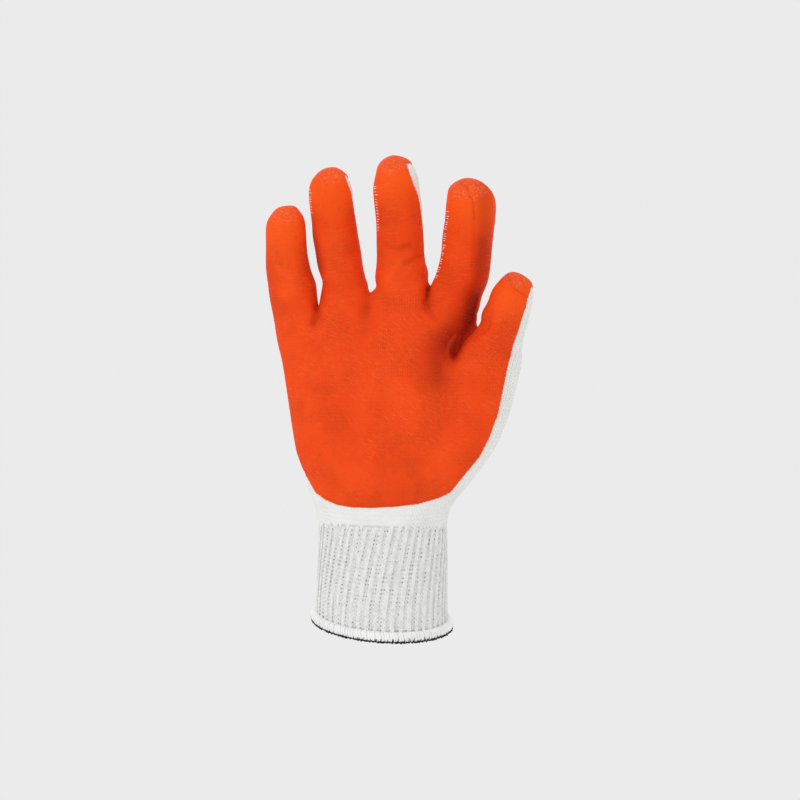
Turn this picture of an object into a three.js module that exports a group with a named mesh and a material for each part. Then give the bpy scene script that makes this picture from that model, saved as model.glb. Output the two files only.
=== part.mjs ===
// Latex coated grip glove for the right hand, in the form that it has when worn.
// Millimetres. +Z runs from the wrist opening to the fingertips, the palm faces -Y, the thumb is at +X.
// The origin is the centre of the wrist opening.
import * as THREE from "three";

// Cuff and wrist opening
const CUFF_LENGTH = 51;
const WRIST_WIDTH = 65;
const WRIST_DEPTH = 44;
const MOUTH_FLARE = 1.6;
const CUFF_TILT = 15;
const MOUTH_ROLL = 4.5;
const WRIST_SHIFT = 2.3;
const CUFF_WALL = 2;
const RIB_COUNT = 44;
const RIB_HEIGHT = 1.1;
const RIB_LEAN = 0.2;
const FLARE_IN_DEPTH = 2;
const CUFF_STEPS = 4;

// Hem and its edge thread
const HEM_HEIGHT = 4.6;
const HEM_THICKNESS = 3.6;
const HEM_FLARE = 2.4;
const THREAD_THICKNESS = 0.9;
const HEM_SHOULDER = 0.65;
const HEM_TOP = 0.3;
const HEM_FOOT = 0.4;
const HEM_SIDES = 56;
const THREAD_SIDES = 5;

// Palm and back of the hand
const WRIST_BEND = 27;
const HEEL_LENGTH = 81;
const PALM_LENGTH = 34;
const PALM_WIDTH = 107;
const PALM_DEPTH = 28;
const HEEL_INSET = 4;
const KNUCKLE_THINNER = 1;
const PALM_ROWS = 4;
const THUMB_SPREAD = 76;
const THUMB_FORWARD = 21;
const WEB_PLACE = 39;
const WEB_RISE = 14;
const WEB_REACH = 8;
const CROTCH_SAG = 1;

// How square a section is at the wrist, at the palm and at a fingertip: 2 is an ellipse
const WRIST_SQUARENESS = 2.1;
const PALM_SQUARENESS = 2.7;
const TIP_SQUARENESS = 2.3;

// The ball of the thumb begins at a share of the section's width and rises over a share of the rest
const BALL_START = 0.55;
const BALL_SPREAD = 0.8;

// Grooves between the thumb and the palm and between the knuckles: width, and depth as a share
const VALLEY_WIDTH = 7;
const VALLEY_DEPTH = 0.22;
const VALLEY_START = 0.6;
const GROOVE_WIDTH = 5;
const GROOVE_DEPTH = 0.34;

// Knit, latex and the gap between pieces that touch
const KNIT_WALL = 1.6;
const LATEX_THICKNESS = 0.9;
const GAP = 0.3;

// Latex edge across the wrist side of the palm
const LATEX_LOW = 9.5;
const LATEX_RISE_LITTLE = 21;
const LATEX_RISE_THUMB = 69;
const LATEX_CURVE_LITTLE = 3.2;
const LATEX_CURVE_THUMB = 4;
const LATEX_SPAN_LITTLE = 0.397;
const LATEX_SPAN_THUMB = 0.882;

// How far the latex passes the hand's widest line at the little finger, the index finger and the
// thumb, and how far it caps a fingertip
const LATEX_PAST_LITTLE = 4;
const LATEX_PAST_INDEX = 1;
const LATEX_PAST_THUMB = -6.5;
const LATEX_CAP = 6;

// Facets round a finger and the stretches that share them
const CROTCH_STEPS = 2;
const WEB_STEPS = 4;
const THUMB_STEPS = 5;
const SMOOTHING_PASSES = 5;
const STRAIGHT_ROWS = 5;
const DOME_ANGLES = [32, 58, 78];
const SECTION_SAMPLES = 240;
const PATH_SAMPLES = 400;

// Smoothing: pull towards the neighbours' middle, then a push back that keeps the volume
const SMOOTH_PULL = 0.5;
const SMOOTH_PUSH = -0.52;

// A finger's form: even part of its curl, taper, dome length and depth as shares of the width,
// and the shares of its length over which its root and its latex blend into the palm
const CURL_EVEN = 0.4;
const TAPER = 2.2;
const TIP_DOME = 0.42;
const FINGER_DEPTH = 0.95;
const ROOT_BLEND = 0.27;
const COVER_BLEND = 0.3;

// Full length and root width of the longest finger and of the thumb
const FINGER_LENGTH = 62.5;
const FINGER_WIDTH = 23;
const THUMB_LENGTH = 40;
const THUMB_WIDTH = 32;

// Fingers. Rise, curl, lean and bow are shares of the finger length, root and tip shares of the
// finger width. Curl is how far the tip comes forward, lean and bow are sideways, turn swings the
// latex side to the little finger (degrees) and wrap is half its cover.
const FINGERS = [
  { steps: 5, rise: 0.792, curl: 0.448, lean: -0.006, bow: -0.045, root: 1, tip: 0.74, turn: 0, wrap: 102 },
  { steps: 4, rise: 1, curl: 0.544, lean: -0.032, bow: -0.026, root: 0.94, tip: 0.843, turn: 10, wrap: 92 },
  { steps: 4, rise: 0.992, curl: 0.576, lean: 0.019, bow: 0.013, root: 1, tip: 0.913, turn: 16, wrap: 92 },
  { steps: 4, rise: 0.848, curl: 0.512, lean: 0.176, bow: 0.035, root: 1.06, tip: 0.965, turn: -8, wrap: 98 },
];

// The thumb, in shares of its own length and width
const THUMB = { rise: 1, curl: 0.3, lean: 0.425, bow: 0.065, root: 1, tip: 0.656, turn: 50, wrap: 96 };

// Crotches between the fingers, from the little finger's side to the index finger's side.
// Place is a share of half the palm width, drop a share of the palm length below the highest crotch.
const CROTCHES = [
  { place: -1.0, drop: 0.36 },
  { place: -0.555, drop: 0.27 },
  { place: -0.05, drop: 0.07 },
  { place: 0.51, drop: 0 },
  { place: 1.0, drop: 0.22 },
];

// Places where the finger stretches meet at the wrist, as shares of the section's width, and how far
// they keep their spread at the web
const WRIST_SPLITS = [0, 0.2, 0.38, 0.56, 0.745, 1];
const SPLIT_SPREAD = 0.88;

// Sections of the heel of the hand. Up is a share of the heel length. The others say how far the
// section has grown from the wrist (0) to the thumb's web (1): little finger side, thumb side,
// depth, and how far the ball of the thumb stands forward.
const HEEL = [
  { up: 0, little: 0, thumb: 0, depth: 0, ball: 0 },
  { up: 0.08, little: 0.05, thumb: 0.03, depth: 0.1, ball: 0 },
  { up: 0.16, little: 0.16, thumb: 0.12, depth: 0.25, ball: 0.08 },
  { up: 0.26, little: 0.35, thumb: 0.3, depth: 0.4, ball: 0.18 },
  { up: 0.37, little: 0.48, thumb: 0.47, depth: 0.52, ball: 0.32 },
  { up: 0.5, little: 0.62, thumb: 0.65, depth: 0.66, ball: 0.48 },
  { up: 0.66, little: 0.74, thumb: 0.79, depth: 0.8, ball: 0.64 },
  { up: 0.83, little: 0.87, thumb: 0.89, depth: 0.92, ball: 0.82 },
  { up: 1, little: 1, thumb: 1, depth: 1, ball: 1 },
];

const WEB_HEIGHT = CUFF_LENGTH + HEEL_LENGTH;
const KNUCKLE_HEIGHT = WEB_HEIGHT + PALM_LENGTH;
const RADIANS = Math.PI / 180;
const TINY = 1e-9;
const LOOK_AHEAD = 0.01;
const LOOK_BACK = 0.02;
const CUT_MARGIN = 0.1;

function mix(a, b, t) {
  return a + (b - a) * t;
}

function clamp(t) {
  return Math.min(1, Math.max(0, t));
}

function smooth(t) {
  const s = clamp(t);
  return s * s * (3 - 2 * s);
}

// Value of one table column at a share, on a smooth curve through the rows
function column(table, key, up) {
  const last = table.length - 2;
  let i = 0;
  while (i < last && up > table[i + 1].up) i += 1;
  const slope = (k) => {
    const a = table[Math.max(0, k - 1)];
    const b = table[Math.min(table.length - 1, k + 1)];
    return (b[key] - a[key]) / (b.up - a.up);
  };
  const step = table[i + 1].up - table[i].up;
  const t = clamp((up - table[i].up) / step);
  const rise = table[i + 1][key] - table[i][key];
  const lead = slope(i) * step;
  const trail = slope(i + 1) * step;
  const second = 3 * rise - 2 * lead - trail;
  const third = lead + trail - 2 * rise;
  return table[i][key] + lead * t + second * t ** 2 + third * t ** 3;
}

// The wrist bends back from the plane of the palm: slope of the middle line at a height
function backSlope(z) {
  const bent = clamp((z - CUFF_LENGTH) / WRIST_BEND);
  return Math.tan(CUFF_TILT * RADIANS) * (1 - bent);
}

// Place of the middle line in depth at a height
function middleY(z) {
  const over = clamp((z - CUFF_LENGTH) / WRIST_BEND);
  const straight = Math.min(z, CUFF_LENGTH);
  return -Math.tan(CUFF_TILT * RADIANS) * (straight + WRIST_BEND * (over - (over * over) / 2));
}

const PALM_Y = middleY(WEB_HEIGHT);

// A point of a section: across and back are measured in the section's own tilted plane
function sectionPoint(z, across, back) {
  const tilt = Math.atan(backSlope(z));
  const roll = MOUTH_ROLL * RADIANS * (1 - smooth(z / (CUFF_LENGTH + WRIST_BEND)));
  return [
    across * Math.cos(roll),
    middleY(z) + back * Math.cos(tilt),
    z + back * Math.sin(tilt) - across * Math.sin(roll),
  ];
}

// Outline of the hand between wrist and thumb web: centre, half width and half depth at a share
function heelSection(up) {
  const wrist = WRIST_WIDTH / 2;
  const little = mix(wrist, PALM_WIDTH / 2 - HEEL_INSET, column(HEEL, "little", up)) - WRIST_SHIFT;
  const thumb = mix(wrist + WRIST_SHIFT, THUMB_SPREAD, column(HEEL, "thumb", up));
  return {
    left: -little,
    right: thumb,
    depth: mix(WRIST_DEPTH, PALM_DEPTH, column(HEEL, "depth", up)) / 2,
    ball: THUMB_FORWARD * column(HEEL, "ball", up),
    squareness: mix(WRIST_SQUARENESS, PALM_SQUARENESS, column(HEEL, "depth", up)),
  };
}

// Half depth and forward shift at a place across a section
function thickness(section, x) {
  const middle = (section.left + section.right) / 2;
  const half = (section.right - section.left) / 2;
  const share = Math.min(1, Math.abs(x - middle) / half);
  return section.depth * Math.sqrt(1 - share ** section.squareness);
}

function forward(section, x) {
  const start = mix(section.left, section.right, BALL_START);
  return section.ball * smooth((x - start) / (section.right - start) / BALL_SPREAD);
}

// Points of one side of a section from left to right, split at the given places into equal steps
function sectionSide(section, places, steps, side, place) {
  const dense = [];
  const xs = [];
  for (let i = 0; i <= SECTION_SAMPLES; i += 1) {
    const share = (1 - Math.cos((Math.PI * i) / SECTION_SAMPLES)) / 2;
    const x = mix(section.left, section.right, share);
    const back = side * thickness(section, x) * section.pinch(x) - forward(section, x);
    xs.push(x);
    dense.push(new THREE.Vector3(...place(x, back)));
  }
  const points = [];
  places.slice(0, -1).forEach((from, span) => {
    const a = xs.findIndex((x) => x >= from - TINY);
    const b = xs.findIndex((x) => x >= places[span + 1] - TINY);
    const end = b < 0 ? SECTION_SAMPLES : b;
    const line = dense.slice(a, end + 1);
    const path = new THREE.CatmullRomCurve3(line, false, "centripetal");
    path.arcLengthDivisions = PATH_SAMPLES;
    for (let i = 0; i < steps[span]; i += 1) {
      points.push(path.getPointAt(i / steps[span]).toArray());
    }
  });
  points.push(dense[SECTION_SAMPLES].toArray());
  return points;
}

const surface = { points: [], quads: [], cover: [] };

function addPoint(point, cover) {
  surface.points.push(point);
  surface.cover.push(cover);
  return surface.points.length - 1;
}

function joinRings(lower, upper) {
  lower.forEach((_, i) => {
    const next = (i + 1) % lower.length;
    surface.quads.push([lower[i], lower[next], upper[next], upper[i]]);
  });
}

// How far a point lies inside the latex edge, in millimetres
function palmCover(section, x, z, front) {
  const share = (x - section.left) / (section.right - section.left);
  const sideways = front + mix(LATEX_PAST_LITTLE, LATEX_PAST_THUMB, share);
  const little = clamp((WRIST_SHIFT - x) / (PALM_WIDTH * LATEX_SPAN_LITTLE)) ** LATEX_CURVE_LITTLE;
  const thumb = clamp((x - WRIST_SHIFT) / (THUMB_SPREAD * LATEX_SPAN_THUMB)) ** LATEX_CURVE_THUMB;
  const edge = CUFF_LENGTH + LATEX_LOW + LATEX_RISE_LITTLE * little + LATEX_RISE_THUMB * thumb;
  return Math.min(sideways, z - edge);
}

const SPANS = [...FINGERS.map((finger) => finger.steps), THUMB_STEPS];

// Places where the finger stretches meet, across a section
function splitPlaces(section, up) {
  const knuckles = CROTCHES.slice(0, 4).map((c) => (c.place * PALM_WIDTH * SPLIT_SPREAD) / 2);
  const spread = [...knuckles, WEB_PLACE];
  return WRIST_SPLITS.map((share, i) => {
    const wrist = mix(section.left, section.right, share);
    if (share === 0 || share === 1) return wrist;
    return mix(wrist, spread[i], smooth(up));
  });
}

// A whole ring of the hand below the thumb's web
function heelRing(up) {
  const section = heelSection(up);
  const z = CUFF_LENGTH + GAP + (HEEL_LENGTH - GAP) * up;
  const begun = smooth((up - VALLEY_START) / (1 - VALLEY_START));
  const valley = (x) => Math.exp(-(((x - WEB_PLACE) / VALLEY_WIDTH) ** 2));
  section.pinch = (x) => 1 - VALLEY_DEPTH * valley(x) * begun;
  const places = splitPlaces(section, up);
  const place = (x, back) => sectionPoint(z, x, back);
  const front = sectionSide(section, places, SPANS, -1, place);
  const back = sectionSide(section, places, SPANS, 1, place);
  const loop = [...front, ...back.slice(1, -1).reverse()];
  return loop.map((point, i) => {
    const depth = thickness(section, point[0]);
    const ahead = i < front.length ? depth : -depth;
    return addPoint(point, palmCover(section, point[0], point[2], ahead));
  });
}

// The ring at the finger roots, without the thumb
function knuckleRing() {
  const half = PALM_WIDTH / 2;
  const depth = PALM_DEPTH / 2 - KNUCKLE_THINNER;
  const section = { left: -half, right: half, depth, ball: 0, squareness: PALM_SQUARENESS };
  const spots = CROTCHES.map((c) => c.place * half);
  section.pinch = (x) => {
    const near = Math.min(...spots.slice(1, 4).map((spot) => Math.abs(x - spot)));
    return 1 - GROOVE_DEPTH * Math.exp(-((near / GROOVE_WIDTH) ** 2));
  };
  const table = CROTCHES.map((c) => ({ up: c.place, z: KNUCKLE_HEIGHT - c.drop * PALM_LENGTH }));
  const place = (x, back) => [x, PALM_Y + back, column(table, "z", x / half)];
  const steps = [...FINGERS.slice(0, 3).map((f) => f.steps), FINGERS[3].steps + WEB_STEPS / 2];
  const front = sectionSide(section, spots, steps, -1, place);
  const back = sectionSide(section, spots, steps, 1, place);
  const loop = [...front, ...back.slice(1, -1).reverse()];
  return loop.map((point, i) => {
    const deep = thickness(section, point[0]);
    const ahead = i < front.length ? deep : -deep;
    const past = mix(LATEX_PAST_LITTLE, LATEX_PAST_INDEX, (point[0] + half) / PALM_WIDTH);
    return { point, cover: ahead + past };
  });
}

// A row of points between two points, bulging by a vector, without its ends
function bridge(from, to, steps, bulge) {
  const row = [];
  for (let i = 1; i < steps; i += 1) {
    const t = i / steps;
    const swell = Math.sin(Math.PI * t);
    const straight = surface.points[from].map((v, k) => mix(v, surface.points[to][k], t));
    const point = straight.map((v, k) => v + bulge[k] * swell);
    row.push(addPoint(point, mix(surface.cover[from], surface.cover[to], t)));
  }
  return row;
}

// A finger's own sizes, from its shares of a full length and width
function fingerSizes(finger, length, width) {
  const sizes = { ...finger, root: finger.root * width, tip: finger.tip * width };
  ["rise", "curl", "lean", "bow"].forEach((key) => {
    sizes[key] = finger[key] * length;
  });
  return sizes;
}

// Middle line of a finger or the thumb, from its root's centre
function fingerLine(finger, root) {
  return (t) => new THREE.Vector3(
    root.x + finger.lean * t + finger.bow * 4 * t * (1 - t),
    root.y - finger.curl * mix(t * t, t, CURL_EVEN),
    root.z + finger.rise * t,
  );
}

// Closes a finger's tube from its root loop to the tip. The loop starts at the little finger's side.
function addFinger(finger, loop) {
  const root = new THREE.Vector3();
  loop.forEach((i) => root.add(new THREE.Vector3(...surface.points[i])));
  root.divideScalar(loop.length);
  root.z = finger.base ?? root.z;
  const line = fingerLine(finger, root);
  const length = line(0).distanceTo(line(0.5)) + line(0.5).distanceTo(line(1));
  const dome = (TIP_DOME * finger.tip) / length;
  const rows = [];
  for (let i = 1; i <= STRAIGHT_ROWS; i += 1) rows.push(((1 - dome) * i) / STRAIGHT_ROWS);
  DOME_ANGLES.forEach((angle) => rows.push(1 - dome + dome * Math.sin(angle * RADIANS)));
  const facing = Math.PI / 2 - finger.turn * RADIANS;
  const reached = Math.cos(finger.wrap * RADIANS);
  let lower = loop;
  rows.forEach((t) => {
    const tangent = line(Math.min(1, t + LOOK_AHEAD)).sub(line(t - LOOK_BACK)).normalize();
    const across = new THREE.Vector3(1, 0, 0).addScaledVector(tangent, -tangent.x).normalize();
    const back = tangent.clone().cross(across);
    const over = clamp((t - 1 + dome) / dome);
    const rounded = (1 - over ** TIP_SQUARENESS) ** (1 / TIP_SQUARENESS);
    const half = (mix(finger.tip, finger.root, (1 - t) ** TAPER) / 2) * rounded;
    const blend = smooth(t / ROOT_BLEND);
    const centre = line(t);
    const shift = centre.clone().sub(line(0));
    const upper = loop.map((start, i) => {
      const angle = (2 * Math.PI * i) / loop.length;
      const target = centre.clone()
        .addScaledVector(across, -half * Math.cos(angle))
        .addScaledVector(back, -FINGER_DEPTH * half * Math.sin(angle));
      const begun = new THREE.Vector3(...surface.points[start]).add(shift);
      const turned = half * (Math.cos(angle - facing) - reached);
      const capped = (t - 1) * length + LATEX_CAP;
      const onFinger = Math.max(turned, capped);
      const cover = mix(surface.cover[start], onFinger, smooth(t / COVER_BLEND));
      return addPoint(begun.lerp(target, blend).toArray(), cover);
    });
    joinRings(lower, upper);
    lower = upper;
  });
  const pole = addPoint(line(1).toArray(), LATEX_CAP);
  for (let i = 0; i < lower.length; i += 1) {
    surface.quads.push([lower[i], lower[(i + 1) % lower.length], pole]);
  }
}

// Pulls the points towards their neighbours' middle, apart from the wrist ring
function relax(pinned) {
  const near = surface.points.map(() => new Set());
  surface.quads.forEach((face) => face.forEach((a, i) => {
    const b = face[(i + 1) % face.length];
    near[a].add(b);
    near[b].add(a);
  }));
  [SMOOTH_PULL, SMOOTH_PUSH].forEach((pull) => {
    surface.points = surface.points.map((point, i) => {
      if (pinned.has(i)) return point;
      const around = [...near[i]];
      return point.map((v, k) => {
        const sum = around.reduce((s, j) => s + surface.points[j][k], 0);
        return mix(v, sum / around.length, pull);
      });
    });
  });
}

function buildSurface() {
  const rings = HEEL.map((row) => heelRing(row.up));
  rings.slice(1).forEach((ring, i) => joinRings(rings[i], ring));
  const web = rings[rings.length - 1];
  const webFront = FINGERS.reduce((sum, finger) => sum + finger.steps, 0);
  const webBack = web.length - webFront;
  const webLine = bridge(web[webFront], web[webBack], WEB_STEPS, [WEB_REACH, 0, WEB_RISE]);

  const palmLower = [...web.slice(0, webFront + 1), ...webLine, ...web.slice(webBack)];
  const knuckle = knuckleRing();
  let lower = palmLower;
  for (let row = 1; row <= PALM_ROWS; row += 1) {
    const t = row / PALM_ROWS;
    const upper = palmLower.map((start, i) => {
      const point = surface.points[start].map((v, k) => mix(v, knuckle[i].point[k], t));
      return addPoint(point, mix(surface.cover[start], knuckle[i].cover, t));
    });
    joinRings(lower, upper);
    lower = upper;
  }

  const total = lower.length;
  let left = [];
  let front = 0;
  let back = total;
  FINGERS.forEach((finger, n) => {
    const isLast = n === FINGERS.length - 1;
    const frontEnd = front + finger.steps;
    const backStart = back - finger.steps;
    const forwardRow = lower.slice(front, frontEnd + 1);
    const right = isLast
      ? lower.slice(frontEnd + 1, backStart)
      : bridge(lower[frontEnd], lower[backStart], CROTCH_STEPS, [0, 0, -CROTCH_SAG]);
    const backRow = [];
    for (let i = backStart; i <= back; i += 1) backRow.push(lower[i % total]);
    const loop = [...forwardRow, ...right, ...backRow];
    if (n === 0) {
      loop.pop();
    } else {
      const side = [...left].reverse();
      loop.push(...side);
      for (let i = 0; i < CROTCH_STEPS / 2; i += 1) loop.unshift(loop.pop());
    }
    addFinger(fingerSizes(finger, FINGER_LENGTH, FINGER_WIDTH), loop);
    left = right;
    front = frontEnd;
    back = backStart;
  });

  const thumbLoop = [...web.slice(webFront, webBack + 1), ...[...webLine].reverse()];
  for (let i = 0; i < WEB_STEPS / 2; i += 1) thumbLoop.unshift(thumbLoop.pop());
  addFinger({ ...fingerSizes(THUMB, THUMB_LENGTH, THUMB_WIDTH), base: WEB_HEIGHT }, thumbLoop);
  const wristRing = new Set(rings[0]);
  for (let pass = 0; pass < SMOOTHING_PASSES; pass += 1) relax(wristRing);
}

// Unit normals of the surface at its points
function surfaceNormals() {
  const normals = surface.points.map(() => new THREE.Vector3());
  surface.quads.forEach((face) => {
    const corners = face.map((i) => new THREE.Vector3(...surface.points[i]));
    const a = corners[2].clone().sub(corners[0]);
    const b = (corners[3] ?? corners[0]).clone().sub(corners[1]);
    const normal = a.cross(b);
    face.forEach((i) => normals[i].add(normal));
  });
  return normals.map((normal) => normal.normalize());
}

// Splits each face of four corners along its shorter diagonal
function triangles(points, faces) {
  const apart = (a, b) => Math.hypot(...points[a].map((v, k) => v - points[b][k]));
  return faces.flatMap((face) => {
    if (face.length === 3) return [face];
    const [a, b, c, d] = face;
    return apart(a, c) < apart(b, d) ? [[a, b, c], [a, c, d]] : [[a, b, d], [b, c, d]];
  });
}

function meshFrom(name, points, faces, material) {
  const geometry = new THREE.BufferGeometry();
  const index = triangles(points, faces).flat();
  geometry.setAttribute("position", new THREE.Float32BufferAttribute(points.flat(), 3));
  geometry.setIndex(index);
  geometry.computeVertexNormals();
  const mesh = new THREE.Mesh(geometry, material);
  mesh.name = name;
  return mesh;
}

function lift(point, normal, distance) {
  const moved = normal.clone().multiplyScalar(distance).toArray();
  return point.map((v, k) => v + moved[k]);
}

// A wall between two offsets of a set of faces, closed along its free edges
function wall(points, normals, faces, inner, outer) {
  const used = [...new Set(faces.flat())];
  const place = new Map(used.map((i, k) => [i, k]));
  const out = used.map((i) => lift(points[i], normals[i], outer));
  const inn = used.map((i) => lift(points[i], normals[i], inner));
  const shell = faces.map((face) => face.map((i) => place.get(i)));
  const flipped = shell.map((face) => [...face].reverse().map((i) => i + used.length));
  const edgesOf = (face) => face.map((a, i) => `${a},${face[(i + 1) % face.length]}`);
  const edges = new Set(shell.flatMap(edgesOf));
  const rims = [];
  edges.forEach((edge) => {
    const [a, b] = edge.split(",").map(Number);
    if (!edges.has(`${b},${a}`)) rims.push([b, a, a + used.length, b + used.length]);
  });
  return { points: [...out, ...inn], faces: [...shell, ...flipped, ...rims] };
}

// The faces inside the latex edge, cut along it
function coveredFaces(normals, skin) {
  const points = [...surface.points];
  const bent = [...normals];
  const cuts = new Map();
  const cutPoint = (a, b) => {
    const key = a < b ? `${a},${b}` : `${b},${a}`;
    if (!cuts.has(key)) {
      const crossing = surface.cover[a] / (surface.cover[a] - surface.cover[b]);
      const t = Math.min(1 - CUT_MARGIN, Math.max(CUT_MARGIN, crossing));
      points.push(points[a].map((v, k) => mix(v, points[b][k], t)));
      bent.push(bent[a].clone().lerp(bent[b], t).normalize());
      cuts.set(key, points.length - 1);
    }
    return cuts.get(key);
  };
  const faces = [];
  skin.forEach((face) => {
    const loop = [];
    face.forEach((a, i) => {
      const b = face[(i + 1) % face.length];
      if (surface.cover[a] > 0) loop.push(a);
      if (surface.cover[a] > 0 !== surface.cover[b] > 0) loop.push(cutPoint(a, b));
    });
    for (let i = 2; i < loop.length; i += 1) faces.push([loop[0], loop[i - 1], loop[i]]);
  });
  return { points, normals: bent, faces };
}

// Section of the cuff at a height: half sizes swell a little to the mouth
function cuffPoint(z, angle, grow) {
  const flare = MOUTH_FLARE * (1 - z / CUFF_LENGTH);
  const half = WRIST_WIDTH / 2 + flare + grow;
  const deep = WRIST_DEPTH / 2 + FLARE_IN_DEPTH * flare + grow;
  const shift = WRIST_SHIFT * smooth(z / CUFF_LENGTH);
  return sectionPoint(z, shift - half * Math.cos(angle), -deep * Math.sin(angle));
}

// Rings of points through heights and outward distances, closed as a tube round the wrist
function wristTube(count, rows) {
  const points = [];
  const faces = [];
  rows.forEach((row, r) => {
    const next = (r + 1) % rows.length;
    for (let i = 0; i < count; i += 1) {
      const j = (i + 1) % count;
      const angle = (2 * Math.PI * i) / count;
      points.push(cuffPoint(row.z, angle + (row.turn ?? 0), row.grow(i)));
      faces.push([r * count + i, r * count + j, next * count + j, next * count + i]);
    }
  });
  return { points, faces };
}

function buildCuff(material) {
  const rows = [];
  const low = HEM_HEIGHT + GAP;
  const turn = (z) => RIB_LEAN * (z / CUFF_LENGTH) ** 2;
  const rib = (i) => (i % 2 === 0 ? 0 : -RIB_HEIGHT);
  for (let i = 0; i <= CUFF_STEPS; i += 1) {
    const z = mix(low, CUFF_LENGTH, i / CUFF_STEPS);
    rows.push({ z, turn: turn(z), grow: rib });
  }
  for (let i = CUFF_STEPS; i >= 0; i -= 1) {
    const z = mix(low, CUFF_LENGTH, i / CUFF_STEPS);
    rows.push({ z, turn: turn(z), grow: () => -CUFF_WALL });
  }
  const tube = wristTube(2 * RIB_COUNT, rows);
  return meshFrom("rib_cuff", tube.points, tube.faces, material);
}

function buildHem(material) {
  const half = HEM_THICKNESS / 2;
  const centre = HEM_FLARE - half;
  const shape = [
    { z: THREAD_THICKNESS, out: half },
    { z: HEM_SHOULDER * HEM_HEIGHT, out: half },
    { z: HEM_HEIGHT, out: HEM_TOP * half },
    { z: HEM_HEIGHT, out: -half },
    { z: THREAD_THICKNESS, out: -half },
    { z: 0, out: -HEM_FOOT * half },
    { z: 0, out: half - THREAD_THICKNESS },
  ];
  const rows = shape.map((row) => ({ z: row.z, grow: () => centre + row.out }));
  const tube = wristTube(HEM_SIDES, rows);
  return meshFrom("hem", tube.points, tube.faces, material);
}

function buildThread(material) {
  const radius = THREAD_THICKNESS / 2;
  const rows = [];
  for (let i = 0; i < THREAD_SIDES; i += 1) {
    const angle = (2 * Math.PI * i) / THREAD_SIDES;
    const out = HEM_FLARE + radius * (Math.cos(angle) - 0.5);
    rows.push({ z: radius * Math.sin(angle) - GAP, grow: () => out });
  }
  const tube = wristTube(HEM_SIDES, rows);
  return meshFrom("edge_thread", tube.points, tube.faces, material);
}

const knit = new THREE.MeshStandardMaterial({ color: 0xe6e6e2, roughness: 0.95, metalness: 0 });
const latex = new THREE.MeshStandardMaterial({ color: 0xec4b1c, roughness: 0.6, metalness: 0 });
const ribbing = new THREE.MeshStandardMaterial({ color: 0xdcdcdc, roughness: 0.95, metalness: 0 });
const overlock = new THREE.MeshStandardMaterial({ color: 0xe4e4e2, roughness: 0.95, metalness: 0 });
const black = new THREE.MeshStandardMaterial({ color: 0x202022, roughness: 0.9, metalness: 0 });

buildSurface();
const normals = surfaceNormals();
const skin = triangles(surface.points, surface.quads);
const liner = wall(surface.points, normals, skin, -KNIT_WALL, 0);
const covered = coveredFaces(normals, skin);
const coat = wall(covered.points, covered.normals, covered.faces, GAP, GAP + LATEX_THICKNESS);

const glove = new THREE.Group();
glove.add(meshFrom("knit_liner", liner.points, liner.faces, knit));
glove.add(meshFrom("latex_coating", coat.points, coat.faces, latex));
glove.add(buildCuff(ribbing));
glove.add(buildHem(overlock));
glove.add(buildThread(black));

export default glove;
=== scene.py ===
"""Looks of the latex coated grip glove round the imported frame.

The glove's points and sizes are millimetres until make_mesh. The rest is in metres.
"""
import math

import bpy
import numpy as np
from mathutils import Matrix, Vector


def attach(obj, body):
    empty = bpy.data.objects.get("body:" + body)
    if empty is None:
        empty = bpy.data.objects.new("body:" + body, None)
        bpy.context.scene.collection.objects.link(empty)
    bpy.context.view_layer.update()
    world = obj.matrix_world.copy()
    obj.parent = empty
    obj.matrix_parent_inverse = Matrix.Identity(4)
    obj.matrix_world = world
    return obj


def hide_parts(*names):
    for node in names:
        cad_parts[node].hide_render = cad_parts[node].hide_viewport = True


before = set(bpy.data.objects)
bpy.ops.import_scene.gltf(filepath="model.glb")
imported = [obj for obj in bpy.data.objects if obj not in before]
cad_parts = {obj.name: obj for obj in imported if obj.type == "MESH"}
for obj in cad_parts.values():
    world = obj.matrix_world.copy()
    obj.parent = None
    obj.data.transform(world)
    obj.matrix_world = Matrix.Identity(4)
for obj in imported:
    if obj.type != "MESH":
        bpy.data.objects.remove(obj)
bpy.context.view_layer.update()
MM = 0.001
scene = bpy.context.scene

# Camera, light and floor
TARGET = Vector((0.01165, -0.017, 0.113))
AZIMUTH = math.radians(8)
CAMERA_AWAY = 1.0
SENSOR, LENS = 36, 90
# The photograph's side and the camera's focal length in its pixels, and a pixel's millimetres at the target
PICTURE = 800
FOCAL = PICTURE * LENS / SENSOR
PIXEL = 0.5
FLOOR_HEIGHT = -0.36
cam_data = bpy.data.cameras.new("camera")
cam = bpy.data.objects.new("camera", cam_data)
scene.collection.objects.link(cam)
cam.location = TARGET + Vector((math.sin(AZIMUTH), -math.cos(AZIMUTH), 0)) * CAMERA_AWAY
cam.rotation_euler = (cam.location - TARGET).to_track_quat("Z", "Y").to_euler()
cam_data.sensor_width = SENSOR
cam_data.lens = LENS
cam_data.clip_start = 0.01
cam_data.clip_end = 50
scene.camera = cam
scene.view_settings.view_transform = "Standard"
scene.view_settings.look = "None"

BACKDROP = (0.831, 0.831, 0.831, 1)
world = bpy.data.worlds.new("studio")
scene.world = world
world.use_nodes = True
world.node_tree.nodes["Background"].inputs[0].default_value = BACKDROP
world.node_tree.nodes["Background"].inputs[1].default_value = 1.0


def area_light(name, place, size, watts):
    data = bpy.data.lights.new(name, "AREA")
    data.shape = "DISK"
    data.size = size
    data.energy = watts
    o = bpy.data.objects.new(name, data)
    scene.collection.objects.link(o)
    o.location = place
    o.rotation_euler = (Vector(place) - TARGET).to_track_quat("Z", "Y").to_euler()


area_light("key", (-1.4, -1.6, 0.9), 1.4, 7.5)
area_light("fill", (0.9, -2.0, -0.1), 1.6, 3.0)
area_light("back", (-0.6, 1.8, 1.4), 1.6, 6.0)


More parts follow.
